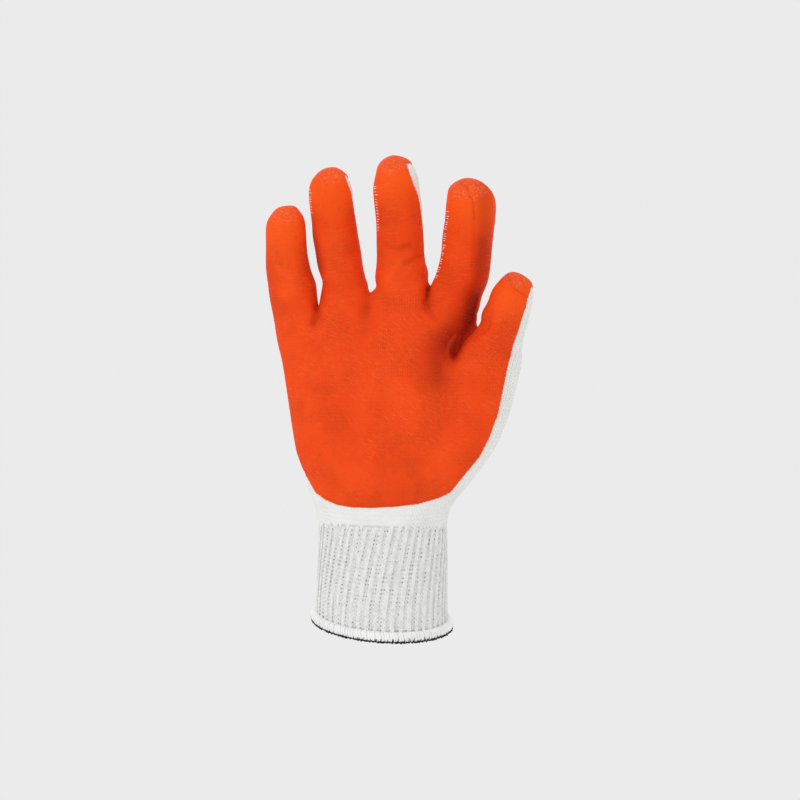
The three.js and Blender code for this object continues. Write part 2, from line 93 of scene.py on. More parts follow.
class Nodes:
    """A short way to write a shader's nodes."""

    def __init__(self, name):
        self.material = bpy.data.materials.new(name)
        self.material.use_nodes = True
        self.tree = self.material.node_tree
        self.shader = self.tree.nodes["Principled BSDF"]

    def plug(self, socket, value):
        if isinstance(value, bpy.types.NodeSocket):
            self.tree.links.new(value, socket)
        else:
            socket.default_value = value

    def add(self, kind, *values, **settings):
        """A node with its settings made and its first inputs filled."""
        node = self.tree.nodes.new(kind)
        for key, value in settings.items():
            setattr(node, key, value)
        for socket, value in zip(node.inputs, values):
            self.plug(socket, value)
        return node

    def math(self, operation, a, b=0.0, clamp=False):
        return self.add("ShaderNodeMath", a, b, 0.0, operation=operation, use_clamp=clamp).outputs[0]

    def times(self, a, b):
        return self.math("MULTIPLY", a, b)

    def plus(self, a, b):
        return self.math("ADD", a, b)

    def minus(self, a, b):
        return self.math("SUBTRACT", a, b)

    def mix(self, share, a, b):
        node = self.add("ShaderNodeMix", share, data_type="RGBA")
        self.plug(node.inputs[6], a)
        self.plug(node.inputs[7], b)
        return node.outputs[2]

    def layered(self, color, *layers):
        """A colour with others laid over it, each by its share."""
        for share, over in layers:
            color = self.mix(share, color, over)
        return color

    def noise(self, vector, scale, detail=2.0):
        node = self.add("ShaderNodeTexNoise", vector)
        node.inputs["Scale"].default_value = scale
        node.inputs["Detail"].default_value = detail
        node.inputs["Roughness"].default_value = 0.55
        return node.outputs[0]

    def warped(self, vector, scale, amount):
        """A position pushed about by noise."""
        noise = self.add("ShaderNodeTexNoise", vector)
        noise.inputs["Scale"].default_value = scale
        push = (amount, amount, amount)
        return self.add("ShaderNodeVectorMath", noise.outputs["Color"], push, vector,
                        operation="MULTIPLY_ADD").outputs[0]

    def range(self, value, low, high, to_low=0.0, to_high=1.0):
        """The value's place between low and high, eased, as a number between two others."""
        return self.add("ShaderNodeMapRange", value, low, high, to_low, to_high,
                        interpolation_type="SMOOTHSTEP").outputs[0]

    def attribute(self, name):
        return self.add("ShaderNodeAttribute", attribute_name=name).outputs["Fac"]

    def position(self):
        return self.add("ShaderNodeTexCoord").outputs["Object"]

    def axes(self, vector):
        return self.add("ShaderNodeSeparateXYZ", vector).outputs

    def numbers(self):
        """A mesh's own numbers: wale and course, or how far across and along a strip of yarn."""
        return self.axes(self.add("ShaderNodeUVMap", uv_map="stitch").outputs[0])[:2]

    def stitches(self):
        """Height of a V stitch, from the wale and course numbers."""
        wale, course = self.numbers()
        across = self.math("ABSOLUTE", self.minus(self.math("FRACT", wale), 0.5))
        along = self.math("FRACT", self.plus(course, self.times(across, -1.3)))
        bar = self.math("SINE", self.times(along, math.pi))
        leg = self.math("SINE", self.times(across, 2 * math.pi))
        return self.times(self.math("POWER", bar, 0.7), self.math("POWER", leg, 0.6))

    def strokes(self, at, lean, pitch, patch):
        """Short fine lines that fall to the right by some degrees, one every so many metres, in patches."""
        x, _, z = self.axes(at)
        c, s = math.cos(math.radians(lean)), math.sin(math.radians(lean))
        along = self.minus(self.times(x, c), self.times(z, s))
        across = self.plus(self.times(x, s), self.times(z, c))
        sway = self.times(self.noise(at, 130.0), 1.6)
        wave = self.math("FRACT", self.plus(self.times(across, 1 / pitch), sway))
        crest = self.range(self.math("ABSOLUTE", self.minus(wave, 0.5)), 0.42, 0.1)
        place = self.add("ShaderNodeCombineXYZ", self.times(along, 0.36), across).outputs[0]
        broken = self.range(self.noise(place, 800.0), 0.44, 0.66)
        return self.times(self.times(crest, broken), patch)

    def stained(self, color, fuzz):
        """The colour, with the latex's orange soaked into the yarn along the latex's edge."""
        edge = self.plus(self.attribute("cover"), self.times(self.minus(fuzz, 0.5), 1.2))
        return self.mix(self.range(edge, -0.45, -0.1), color, (0.9, 0.14, 0.04, 1))

    def bump(self, height, distance, strength=1.0, normal=None):
        node = self.add("ShaderNodeBump")
        node.inputs["Strength"].default_value = strength
        node.inputs["Distance"].default_value = distance
        self.plug(node.inputs["Height"], height)
        if normal is not None:
            self.plug(node.inputs["Normal"], normal)
        return node.outputs[0]

    def finish(self, color, roughness, normal=None, specular=0.3, sheen=0.0):
        self.plug(self.shader.inputs["Base Color"], color)
        self.plug(self.shader.inputs["Roughness"], roughness)
        self.shader.inputs["Specular IOR Level"].default_value = specular
        self.shader.inputs["Sheen Weight"].default_value = sheen
        if normal is not None:
            self.plug(self.shader.inputs["Normal"], normal)
        return self.material

    def cloth(self, color, height, distance, strength, fuzz):
        """A matt, slightly fuzzy cloth."""
        normal = self.bump(fuzz, 0.0001, 0.5, self.bump(height, distance, strength))
        return self.finish(color, 0.95, normal, specular=0.15, sheen=0.1)


def floor():
    sides = 96
    radius = 1.15
    turns = [2 * math.pi * i / sides for i in range(sides)]
    ring = [(radius * math.cos(turn), radius * math.sin(turn), 0) for turn in turns]
    mesh = bpy.data.meshes.new("floor")
    mesh.from_pydata([(0, 0, 0)] + ring, [], [(0, 1 + i, 1 + (i + 1) % sides) for i in range(sides)])
    o = bpy.data.objects.new("floor", mesh)
    scene.collection.objects.link(o)
    o.location = (0, 0, FLOOR_HEIGHT)
    m = Nodes("floor")
    at = m.position()
    away = m.add("ShaderNodeVectorMath", at, operation="LENGTH").outputs["Value"]
    fade_from, fade_to = 0.55 * radius, 0.98 * radius
    m.plug(m.shader.inputs["Alpha"], m.range(away, fade_from, fade_to, 1.0, 0.0))
    grain = m.mix(m.noise(at, 60.0, 3.0), (0.86, 0.86, 0.86, 1), (0.89, 0.89, 0.89, 1))
    mesh.materials.append(m.finish(grain, 0.9, specular=0.1))


floor()

# Sizes of the glove, mostly by their names in the part's source. RIBS is the photograph's count, four more
# than the solid has
CUFF_LENGTH, WRIST_WIDTH, WRIST_DEPTH = 51.0, 65.0, 44.0
MOUTH_FLARE, CUFF_TILT, MOUTH_ROLL, WRIST_SHIFT = 1.6, 15.0, 4.5, 2.3
CUFF_WALL, RIB_HEIGHT, RIB_LEAN, RIB_TOP_FRONT, RIBS = 2.0, 1.1, 0.2, 4.2, 48
HEM_HEIGHT, HEM_THICKNESS, HEM_FLARE = 4.6, 3.6, 2.4
WRIST_BEND, HEEL_LENGTH, PALM_LENGTH, PALM_WIDTH, PALM_DEPTH = 27.0, 81.0, 34.0, 107.0, 28.0
HEEL_INSET, THUMB_SPREAD, THUMB_FORWARD, WEB_PLACE, WEB_RISE = 4.0, 76.0, 21.0, 39.0, 14.0
KNUCKLE_THINNER, WEB_REACH, CROTCH_SAG = 1, 8, 1
WRIST_SQUARENESS, PALM_SQUARENESS, TIP_SQUARENESS = 2.1, 2.7, 2.3
BALL_START, BALL_SPREAD = 0.55, 0.8
VALLEY_WIDTH, VALLEY_DEPTH, VALLEY_START, GROOVE_WIDTH, GROOVE_DEPTH = 7, 0.22, 0.6, 5, 0.34
KNIT_WALL, LATEX_THICKNESS, GAP = 1.6, 0.9, 0.3
LATEX_LOW, LATEX_RISE_LITTLE, LATEX_RISE_THUMB = 9.5, 21.0, 69.0
LATEX_CURVE_LITTLE, LATEX_CURVE_THUMB, LATEX_SPAN_LITTLE, LATEX_SPAN_THUMB = 3.2, 4, 42.5, 67
LATEX_PAST_LITTLE, LATEX_PAST_INDEX, LATEX_PAST_THUMB, LATEX_CAP = 4, 1, -6.5, 6
CROTCH_STEPS, WEB_STEPS, THUMB_STEPS = 2, 4, 5
SMOOTHING_PASSES, SMOOTH_PULL, SMOOTH_PUSH = 5, 0.5, -0.52
STRAIGHT_ROWS, DOME_ANGLES, SECTION_SAMPLES = 5, (32, 58, 78), 480
CURL_EVEN, TAPER, TIP_DOME, FINGER_DEPTH, ROOT_BLEND, COVER_BLEND = 0.4, 2.2, 0.42, 0.95, 0.27, 0.3
WRIST_SPLITS, SPLIT_SPREAD = (0, 0.2, 0.38, 0.56, 0.745, 1), 0.88
# Little, ring, middle and index finger, in millimetres and degrees, with the steps of the net across them
FINGER_KEYS = ("steps", "rise", "reach", "lean", "bow", "root", "tip", "facing", "wrap")
FINGERS = [dict(zip(FINGER_KEYS, row)) for row in (
    (5, 49.5, 28, -0.4, -2.8, 23, 17, 0, 102),
    (4, 62.5, 34, -2, -1.6, 21.6, 19.4, 10, 92),
    (4, 62, 36, 1.2, 0.8, 23, 21, 16, 92),
    (4, 53, 32, 11, 2.2, 24.4, 22.2, -8, 98),
)]
THUMB = dict(zip(FINGER_KEYS, (5, 40, 12, 17, 2.6, 32, 21, 50, 96)))
# The valleys between fingers: place as a share of half the palm's width, and drop under the highest one as a
# share of the palm's length
CROTCHES = [(-1.0, 0.36), (-0.555, 0.27), (-0.05, 0.07), (0.51, 0.0), (1.0, 0.22)]
# How far up the heel, and the shares by which the little finger's side, the thumb's side, the depth and the
# ball of the thumb have grown there
HEEL = [
    (0, 0, 0, 0, 0), (0.08, 0.05, 0.03, 0.1, 0), (0.16, 0.16, 0.12, 0.25, 0.08),
    (0.26, 0.35, 0.3, 0.4, 0.18), (0.37, 0.48, 0.47, 0.52, 0.32), (0.5, 0.62, 0.65, 0.66, 0.48),
    (0.66, 0.74, 0.79, 0.8, 0.64), (0.83, 0.87, 0.89, 0.92, 0.82), (1, 1, 1, 1, 1),
]
WEB_HEIGHT = CUFF_LENGTH + HEEL_LENGTH
KNUCKLE_HEIGHT = WEB_HEIGHT + PALM_LENGTH
RAD = math.pi / 180
CUFF_SLOPE = math.tan(CUFF_TILT * RAD)

# The coarse net's rows over the palm, and how much yarn they stand for
PALM_ROWS = 4
PALM_RUN = PALM_LENGTH * 0.85
# Stitches: wales in a step of the net, the height of a course, fine steps to a coarse one, strands of the hem
WALES_PER_STEP = 3
COURSE = 1.85
FINE_STEPS = 8
WRAPS = 156
# How far apart the loops in a row stand, and how far the latex and the knit sink into each other
LOOP_PITCH = 1.45
TUCK = 0.05
# How wide the latex's rounded rim is, and up to which cover the bare knit has its stitches
RIM_WIDTH = 1.3
BARE_COVER = 0.35
# The crackled caps are this much shorter on the ring and middle fingers, which the picture has between these
SHORT_CAP = 0.9
SHORT_CAP_SPAN = (305, 427)
# The distance to a tip that stands for a point on no finger
NO_TIP = -60.0


def mix(a, b, t):
    return a + (b - a) * t


def clamp(t):
    return min(1.0, max(0.0, t))


def smooth(t):
    s = np.clip(t, 0, 1)
    return s * s * (3 - 2 * s)


def unit(v):
    """Vectors made one long."""
    return v / np.maximum(np.linalg.norm(v, axis=-1, keepdims=True), 1e-12)


def column(rows, k, up):
    """A smooth curve through a table's rows, from one of its columns."""
    last = len(rows) - 2
    i = 0
    while i < last and up > rows[i + 1][0]:
        i += 1

    def slope(n):
        a, b = rows[max(0, n - 1)], rows[min(len(rows) - 1, n + 1)]
        return (b[k] - a[k]) / (b[0] - a[0])

    step = rows[i + 1][0] - rows[i][0]
    t = clamp((up - rows[i][0]) / step)
    rise = rows[i + 1][k] - rows[i][k]
    lead, trail = slope(i) * step, slope(i + 1) * step
    return rows[i][k] + lead * t + (3 * rise - 2 * lead - trail) * t * t + (lead + trail - 2 * rise) * t ** 3


def middle_y(z):
    """The middle line of the cuff and the heel, which leans at the mouth and bends upright at the wrist."""
    over = np.clip((z - CUFF_LENGTH) / WRIST_BEND, 0, 1)
    straight = np.minimum(z, CUFF_LENGTH)
    return -CUFF_SLOPE * (straight + WRIST_BEND * (over - over * over / 2))


def lean_at(z):
    """How a section is tilted at a height: its slope and its turn to the side."""
    bent = np.clip((z - CUFF_LENGTH) / WRIST_BEND, 0, 1)
    return CUFF_SLOPE * (1 - bent), MOUTH_ROLL * RAD * (1 - smooth(z / (CUFF_LENGTH + WRIST_BEND)))


PALM_Y = float(middle_y(WEB_HEIGHT))


def section_point(z, across, back):
    """A point of the tilted section that crosses the middle line at a height."""
    slope, roll = lean_at(z)
    tilt = np.arctan(slope)
    return np.stack(np.broadcast_arrays(
        across * np.cos(roll),
        middle_y(z) + back * np.cos(tilt),
        z + back * np.sin(tilt) - across * np.sin(roll)), -1)


def heel_section(up):
    depth = column(HEEL, 3, up)
    return {
        "left": -(mix(WRIST_WIDTH / 2, PALM_WIDTH / 2 - HEEL_INSET, column(HEEL, 1, up)) - WRIST_SHIFT),
        "right": mix(WRIST_WIDTH / 2 + WRIST_SHIFT, THUMB_SPREAD, column(HEEL, 2, up)),
        "depth": mix(WRIST_DEPTH, PALM_DEPTH, depth) / 2,
        "ball": THUMB_FORWARD * column(HEEL, 4, up),
        "squareness": mix(WRIST_SQUARENESS, PALM_SQUARENESS, depth),
    }


def thickness(section, x):
    """Half the depth of a section at a place across it."""
    middle = (section["left"] + section["right"]) / 2
    half = (section["right"] - section["left"]) / 2
    share = np.minimum(1, np.abs(x - middle) / half)
    return section["depth"] * np.sqrt(1 - share ** section["squareness"])


def forward(section, x):
    """How far the ball of the thumb brings a section forward."""
    start = mix(section["left"], section["right"], BALL_START)
    return section["ball"] * smooth((x - start) / (section["right"] - start) / BALL_SPREAD)


def section_side(section, places, steps, side, place):
    """Points along one side of a section, evenly spaced between places across it."""
    turn = np.pi * np.arange(SECTION_SAMPLES + 1) / SECTION_SAMPLES
    x = mix(section["left"], section["right"], (1 - np.cos(turn)) / 2)
    back = side * thickness(section, x) * section["pinch"](x) - forward(section, x)
    dense = place(x, back)
    walk = np.concatenate([[0], np.cumsum(np.linalg.norm(np.diff(dense, axis=0), axis=1))])
    marks = np.interp(places, x, walk)
    at = []
    for n, many in enumerate(steps):
        at += [mix(marks[n], marks[n + 1], i / many) for i in range(many)]
    at.append(marks[-1])
    return [np.array([np.interp(s, walk, dense[:, k]) for k in range(3)]) for s in at]


# Of each point: place, cover, distance to its finger's tip and share of the thumb. Of each face: its corners
# and their wales and courses
points, cover, tips, thumbs, faces, wales = [], [], [], [], [], []


def add_point(p, c, tip=NO_TIP, thumb=0.0):
    points.append(np.asarray(p, float))
    cover.append(float(c))
    tips.append(float(tip))
    thumbs.append(float(thumb))
    return len(points) - 1


def join_rings(lower, upper, numbers, low, high):
    """Faces between two rings of points, with their stitch numbers."""
    for i, a in enumerate(lower):
        n = (i + 1) % len(lower)
        faces.append([a, lower[n], upper[n], upper[i]])
        w = numbers[i] * WALES_PER_STEP
        x = w + WALES_PER_STEP
        wales.append([(w, low / COURSE), (x, low / COURSE), (x, high / COURSE), (w, high / COURSE)])


def palm_cover(section, x, z, front):
    """How far inside the latex edge a point of the heel or palm lies, in millimetres."""
    share = (x - section["left"]) / (section["right"] - section["left"])
    sideways = front + mix(LATEX_PAST_LITTLE, LATEX_PAST_THUMB, share)
    little = clamp((WRIST_SHIFT - x) / LATEX_SPAN_LITTLE) ** LATEX_CURVE_LITTLE
    thumb = clamp((x - WRIST_SHIFT) / LATEX_SPAN_THUMB) ** LATEX_CURVE_THUMB
    edge = CUFF_LENGTH + LATEX_LOW + LATEX_RISE_LITTLE * little + LATEX_RISE_THUMB * thumb
    return min(sideways, z - edge)


SPANS = [f["steps"] for f in FINGERS] + [THUMB_STEPS]


def split_places(section, up):
    """Places where the fingers' stretches meet, across a section of the heel."""
    spread = [c[0] * PALM_WIDTH / 2 * SPLIT_SPREAD for c in CROTCHES[:4]] + [WEB_PLACE]
    made = [mix(section["left"], section["right"], share) for share in WRIST_SPLITS]
    for i in range(1, len(spread)):
        made[i] = mix(made[i], spread[i], float(smooth(up)))
    return made


def section_ring(section, places, steps, place):
    """The points all round a section, the palm's first, each with its depth in front of the middle."""
    front, back = (section_side(section, places, steps, side, place) for side in (-1, 1))
    ring = front + back[1:-1][::-1]
    signs = [1] * len(front) + [-1] * (len(ring) - len(front))
    return [(p, sign * float(thickness(section, p[0]))) for p, sign in zip(ring, signs)]


def heel_ring(up):
    section = heel_section(up)
    z = CUFF_LENGTH + GAP + (HEEL_LENGTH - GAP) * up
    dip = VALLEY_DEPTH * float(smooth((up - VALLEY_START) / (1 - VALLEY_START)))
    section["pinch"] = lambda x: 1 - dip * np.exp(-(((x - WEB_PLACE) / VALLEY_WIDTH) ** 2))
    ring = section_ring(section, split_places(section, up), SPANS, lambda x, b: section_point(z, x, b))
    return [add_point(p, palm_cover(section, p[0], p[2], depth)) for p, depth in ring]


def knuckle_ring():
    half = PALM_WIDTH / 2
    section = {"left": -half, "right": half, "depth": PALM_DEPTH / 2 - KNUCKLE_THINNER, "ball": 0,
               "squareness": PALM_SQUARENESS}
    spots = [c[0] * half for c in CROTCHES]
    section["pinch"] = lambda x: 1 - GROOVE_DEPTH * np.exp(
        -((np.min([np.abs(x - s) for s in spots[1:4]], axis=0) / GROOVE_WIDTH) ** 2))
    table = [(c[0], KNUCKLE_HEIGHT - c[1] * PALM_LENGTH) for c in CROTCHES]

    def place(x, back):
        z = np.array([column(table, 1, v / half) for v in x])
        return np.stack([x, PALM_Y + back, z], -1)

    steps = [f["steps"] for f in FINGERS[:3]] + [FINGERS[3]["steps"] + WEB_STEPS // 2]
    ring = section_ring(section, spots, steps, place)
    return [(p, depth + mix(LATEX_PAST_LITTLE, LATEX_PAST_INDEX, (p[0] + half) / PALM_WIDTH))
            for p, depth in ring]


def bridge(a, b, steps, bulge):
    """New points on an arc between two points."""
    row = []
    for i in range(1, steps):
        t = i / steps
        p = mix(points[a], points[b], t) + np.array(bulge) * math.sin(math.pi * t)
        row.append(add_point(p, mix(cover[a], cover[b], t)))
    return row


def turned(loop, many):
    """A loop that starts so many points earlier."""
    return loop[len(loop) - many:] + loop[:len(loop) - many]


def add_finger(finger, loop, base=None, low=0.0):
    """A finger from its root's loop of points up to the pole of its tip."""
    root = np.mean([points[i] for i in loop], axis=0)
    if base is not None:
        root[2] = base

    def line(t):
        return np.array([
            root[0] + finger["lean"] * t + finger["bow"] * 4 * t * (1 - t),
            root[1] - finger["reach"] * mix(t * t, t, CURL_EVEN),
            root[2] + finger["rise"] * t])

    length = np.linalg.norm(line(0.5) - line(0)) + np.linalg.norm(line(1) - line(0.5))
    dome = TIP_DOME * finger["tip"] / length
    rows = [(1 - dome) * (i + 1) / STRAIGHT_ROWS for i in range(STRAIGHT_ROWS)]
    rows += [1 - dome + dome * math.sin(a * RAD) for a in DOME_ANGLES]
    lower, t_low = loop, 0.0
    numbers = list(range(len(loop)))
    own = 0.0 if base is None else 1.0
    for t in rows:
        tangent = line(min(1, t + 0.01)) - line(t - 0.02)
        tangent /= np.linalg.norm(tangent)
        across = np.array([1.0, 0, 0]) - tangent * tangent[0]
        across /= np.linalg.norm(across)
        back = np.cross(tangent, across)
        over = clamp((t - 1 + dome) / dome)
        half = mix(finger["tip"], finger["root"], (1 - t) ** TAPER) / 2
        half *= (1 - over ** TIP_SQUARENESS) ** (1 / TIP_SQUARENESS)
        blend = float(smooth(t / ROOT_BLEND))
        centre = line(t)
        shift = centre - line(0)
        upper = []
        for i, start in enumerate(loop):
            angle = 2 * math.pi * i / len(loop)
            target = centre - across * half * math.cos(angle) - back * FINGER_DEPTH * half * math.sin(angle)
            begun = points[start] + shift
            facing = math.pi / 2 - finger["facing"] * RAD
            wrapped = half * (math.cos(angle - facing) - math.cos(finger["wrap"] * RAD))
            capped = (t - 1) * length + LATEX_CAP
            c = mix(cover[start], max(wrapped, capped), float(smooth(t / COVER_BLEND)))
            upper.append(add_point(mix(begun, target, blend), c, (t - 1) * length, own * blend))
        join_rings(lower, upper, numbers, low + t_low * length, low + t * length)
        lower, t_low = upper, t
    pole = add_point(line(1), LATEX_CAP, 0.0, own)
    for i in range(len(lower)):
        faces.append([lower[i], lower[(i + 1) % len(lower)], pole])
        w = i * WALES_PER_STEP
        at, top = (low + t_low * length) / COURSE, (low + length) / COURSE
        wales.append([(w, at), (w + WALES_PER_STEP, at), (w + WALES_PER_STEP / 2, top)])


def relax(pinned):
    """One smoothing pass: towards the neighbours' middle, and back a little further."""
    near = [set() for _ in points]
    for face in faces:
        for i, a in enumerate(face):
            b = face[(i + 1) % len(face)]
            near[a].add(b)
            near[b].add(a)
    near = [list(n) for n in near]
    for pull in (SMOOTH_PULL, SMOOTH_PUSH):
        old = list(points)
        for i, p in enumerate(old):
            if i not in pinned:
                points[i] = mix(p, np.mean([old[j] for j in near[i]], axis=0), pull)


def build_surface():
    """Fills the lists of points and faces: heel, palm, four fingers and the thumb, then smooths them."""
    rings = [heel_ring(row[0]) for row in HEEL]
    count = len(rings[0])
    numbers = [i if i <= count // 2 else i - count for i in range(count)]
    heights = [CUFF_LENGTH + HEEL_LENGTH * row[0] for row in HEEL]
    for i, ring in enumerate(rings[1:]):
        join_rings(rings[i], ring, numbers, heights[i], heights[i + 1])
    web = rings[-1]
    web_front = sum(SPANS[:4])
    web_back = len(web) - web_front
    web_line = bridge(web[web_front], web[web_back], WEB_STEPS, [WEB_REACH, 0, WEB_RISE])
    palm_lower = web[:web_front + 1] + web_line + web[web_back:]
    knuckle = knuckle_ring()
    total = len(palm_lower)
    numbers = [i if i <= web_front + len(web_line) else i - total for i in range(total)]
    lower = palm_lower
    for row in range(PALM_ROWS):
        t = (row + 1) / PALM_ROWS
        upper = [add_point(mix(points[s], knuckle[i][0], t), mix(cover[s], knuckle[i][1], t))
                 for i, s in enumerate(palm_lower)]
        join_rings(lower, upper, numbers, WEB_HEIGHT + PALM_RUN * row / PALM_ROWS, WEB_HEIGHT + PALM_RUN * t)
        lower = upper
    left, front, back = [], 0, total
    for n, finger in enumerate(FINGERS):
        front_end, back_start = front + finger["steps"], back - finger["steps"]
        if n == len(FINGERS) - 1:
            right = lower[front_end + 1:back_start]
        else:
            right = bridge(lower[front_end], lower[back_start], CROTCH_STEPS, [0, 0, -CROTCH_SAG])
        loop = lower[front:front_end + 1] + right + [lower[i % total] for i in range(back_start, back + 1)]
        if n == 0:
            loop.pop()
        else:
            loop = turned(loop + left[::-1], CROTCH_STEPS // 2)
        add_finger(finger, loop, low=WEB_HEIGHT + PALM_RUN)
        left, front, back = right, front_end, back_start
    thumb_loop = turned(web[web_front:web_back + 1] + web_line[::-1], WEB_STEPS // 2)
    add_finger(THUMB, thumb_loop, base=WEB_HEIGHT, low=WEB_HEIGHT)
    pinned = set(rings[0])
    for _ in range(SMOOTHING_PASSES):
        relax(pinned)


build_surface()


def summed(size, index, rows):
    """Sums of the rows that share an index."""
    total = np.zeros((size,) + rows.shape[1:])
    np.add.at(total, index, rows)
    return total


def split(values, flat, count, uv):
    """One Catmull-Clark step. The faces' corners stand in one row, with how many each face has."""
    n = len(values)
    own = np.repeat(np.arange(len(count)), count)
    first = np.cumsum(count) - count
    start, last = first[own], (first + count - 1)[own]
    index = np.arange(len(flat))
    before = np.where(index == start, last, index - 1)
    after = np.where(index == last, start, index + 1)
    centres = np.add.reduceat(values[flat], first, axis=0) / count[:, None]
    mean = np.add.reduceat(uv, first, axis=0) / count[:, None]
    a, b = flat, flat[after]
    pair = np.minimum(a, b) * n + np.maximum(a, b)
    key, side, many = np.unique(pair, return_inverse=True, return_counts=True)
    ends = (key // n, key % n)
    middle = (values[ends[0]] + values[ends[1]]) / 2
    rim = many != 2
    edge = np.where(rim[:, None], middle, (2 * middle + summed(len(key), side, centres[own])) / 4)
    sides = np.maximum(np.bincount(a, minlength=n), 1)[:, None]
    around = summed(n, a, centres[own]) / sides
    mids = sum(summed(n, e, middle) for e in ends)
    edges = np.maximum(sum(np.bincount(e, minlength=n) for e in ends), 1)[:, None]
    moved = (around + 2 * mids / edges + (sides - 3) * values) / sides
    times = sum(np.bincount(e[rim], minlength=n) for e in ends)
    on = times > 0
    sums = sum(summed(n, e[rim], middle[rim]) for e in ends)
    moved[on] = values[on] / 2 + sums[on] / times[on][:, None] / 2
    made = np.concatenate([moved, edge, centres])
    quads = np.stack([flat, side + n, own + n + len(edge), side[before] + n], 1)
    corners = np.stack([uv, (uv + uv[after]) / 2, mean[own], (uv + uv[before]) / 2], 1)
    return made, quads.ravel(), np.full(len(flat), 4), corners.reshape(-1, 2)


def subdivided(values, levels):
    """Points, four-cornered faces and their stitch numbers after so many steps."""
    made = (values, np.concatenate(faces), np.array([len(f) for f in faces]),
            np.concatenate([np.array(w, float) for w in wales]))
    for _ in range(levels):
        made = split(*made)
    return made[0], made[1].reshape(-1, 4), made[3].reshape(-1, 4, 2)


# The cage is moved until its smooth surface passes through the points that were built
aim = np.column_stack([np.array(points), cover, tips, thumbs])
cage = aim.copy()
for _ in range(6):
    cage += aim - subdivided(cage, 2)[0][:len(aim)]


def normals_of(p, quads):
    c = p[quads]
    face = np.cross(c[:, 2] - c[:, 0], c[:, 3] - c[:, 1])
    return unit(summed(len(p), quads.ravel(), np.repeat(face, 4, axis=0)))


def picture(p):
    """Where points in millimetres lie in the photograph, in its pixels."""
    x, y, z = (p - np.array(TARGET) / MM).T
    depth = CAMERA_AWAY / MM - x * math.sin(AZIMUTH) + y * math.cos(AZIMUTH)
    across = x * math.cos(AZIMUTH) + y * math.sin(AZIMUTH)
    return PICTURE / 2 + across * FOCAL / depth, PICTURE / 2 - z * FOCAL / depth


# Pulls on the outline: place in the picture, pull to the right and up, reach (all in pixels), and what is
# pulled: H the hand, T the thumb, B both, R or L only what faces right or left
PULLS = [
    (268, 212, 2.5, -0.5, 9, "H"), (295, 206, 2, 2.5, 8, "H"), (306, 236, 1.6, 0, 20, "H"),
    (309, 266, 1.2, 0, 12, "H"), (313, 297, -1.6, 0, 10, "H"),
    (272, 320, 3.0, 0, 20, "H"), (316, 176, 2.6, 0, 11, "H"), (335, 166, 0, 1.2, 6, "H"),
    (318, 284, 6.0, 0, 13, "H"), (316, 299, 2.5, -6, 8, "H"), (357, 244, 2.6, 0, 24, "H"),
    (375, 174, 3.0, 0, 11, "H"), (376, 244, -1.8, 0, 18, "H"), (375, 287, 4.0, -1, 7, "H"),
    (368, 291, -1.0, -1.5, 5, "H"), (422, 236, 1.5, 0, 14, "H"), (393, 155, -1, 1.2, 8, "H"),
    (450, 184, -3.0, 1.0, 9, "H"), (443, 236, -1.6, 0, 14, "H"), (463, 180, 0, 1.5, 9, "H"),
    (488, 186, -1.6, -0.8, 12, "H"), (492, 240, -1.6, 0, 26, "H"),
    (495, 281, 7.0, 0, 13, "T"), (485, 303, 4.6, 0, 13, "T"), (479, 320, 1.6, 0, 10, "T"),
    (514, 272, 0, 1.2, 8, "T"), (303, 470, 2.0, 0, 12, "H"),
    (314, 236, -1.6, 0, 12, "H"), (267, 268, -1.2, 0, 14, "H"),
    (485, 300, -5.0, 0, 15, "H"), (480, 314, -2.0, 0, 8, "H"), (428, 282, -1.5, 0, 8, "H"),
    (352, 190, 1.3, 0, 14, "H"), (355, 212, 1.0, 0, 10, "H"), (416, 180, 0.8, 0, 12, "H"),
    (421, 205, 1.0, 0, 11, "H"), (299, 209, -2.0, 0, 5, "H"), (359, 236, -0.8, 0, 8, "H"),
    (425, 236, -0.8, 0, 8, "H"), (474, 321, 1.5, 0, 7, "H"), (481, 324, 5.0, 0, 9, "T"),
    (470, 336, 6.5, 0, 11, "B"), (466, 337, 3.0, 0, 8, "H"), (472, 330, 3.0, 0, 7, "B"),
    (480, 326, 2.5, 0, 8, "T"), (475, 327, -3.0, 0, 6, "R"), (476, 327, 3.0, 0, 7, "L"),
]

# Where the latex edge shows in the picture: reach (pixels), H, T or B, and its line with the latex on the
# right-hand side of the way along it, seen with the fingers up
EDGE_LINES = [
    (7, "H", [(354, 170.5), (348.6, 172), (343, 172.6), (346.8, 183.5), (350.2, 192.2), (352.3, 204),
              (354.4, 216), (356.2, 228), (358.2, 240), (360.6, 252), (364.4, 266), (370, 282)]),
    (7, "H", [(416, 161), (410, 163.6), (405.6, 162.8), (409.4, 174.8), (412.7, 183.5), (416.7, 193.5),
              (418.8, 202), (420.5, 214.6), (422, 227), (422.9, 240), (423.4, 252), (424.8, 264),
              (430, 274), (437, 282)]),
    (8, "T", [(535, 281), (530.5, 287.5), (526.6, 300), (525, 306), (521.3, 318), (517.8, 330)]),
    (14, "B", [(521.3, 318), (517.8, 330), (513.5, 342), (510.5, 354), (507.3, 366), (502.5, 390),
               (497.5, 414), (488.5, 438), (479.5, 456), (464.5, 474), (450, 492), (440, 497), (417, 504),
               (395, 506.3), (372, 507.5), (352, 507), (337, 504.3), (325, 499), (316, 492), (306, 474),
               (299.5, 456)]),
]

# Rows of knit loops that show through the thin latex on the fingers' sides: half length and half width
# (millimetres), and the line that they follow
LOOP_ROWS = [
    (1.4, 0.16, [(376.6, 186), (377.3, 200), (377.9, 216), (378.1, 232)]),
    (1.3, 0.14, [(312.2, 190), (312.2, 200), (312.8, 214)]),
    (1.5, 0.17, [(446.6, 212), (444.6, 228), (443.2, 240), (442.0, 252), (439.4, 266), (436.2, 279)]),
]

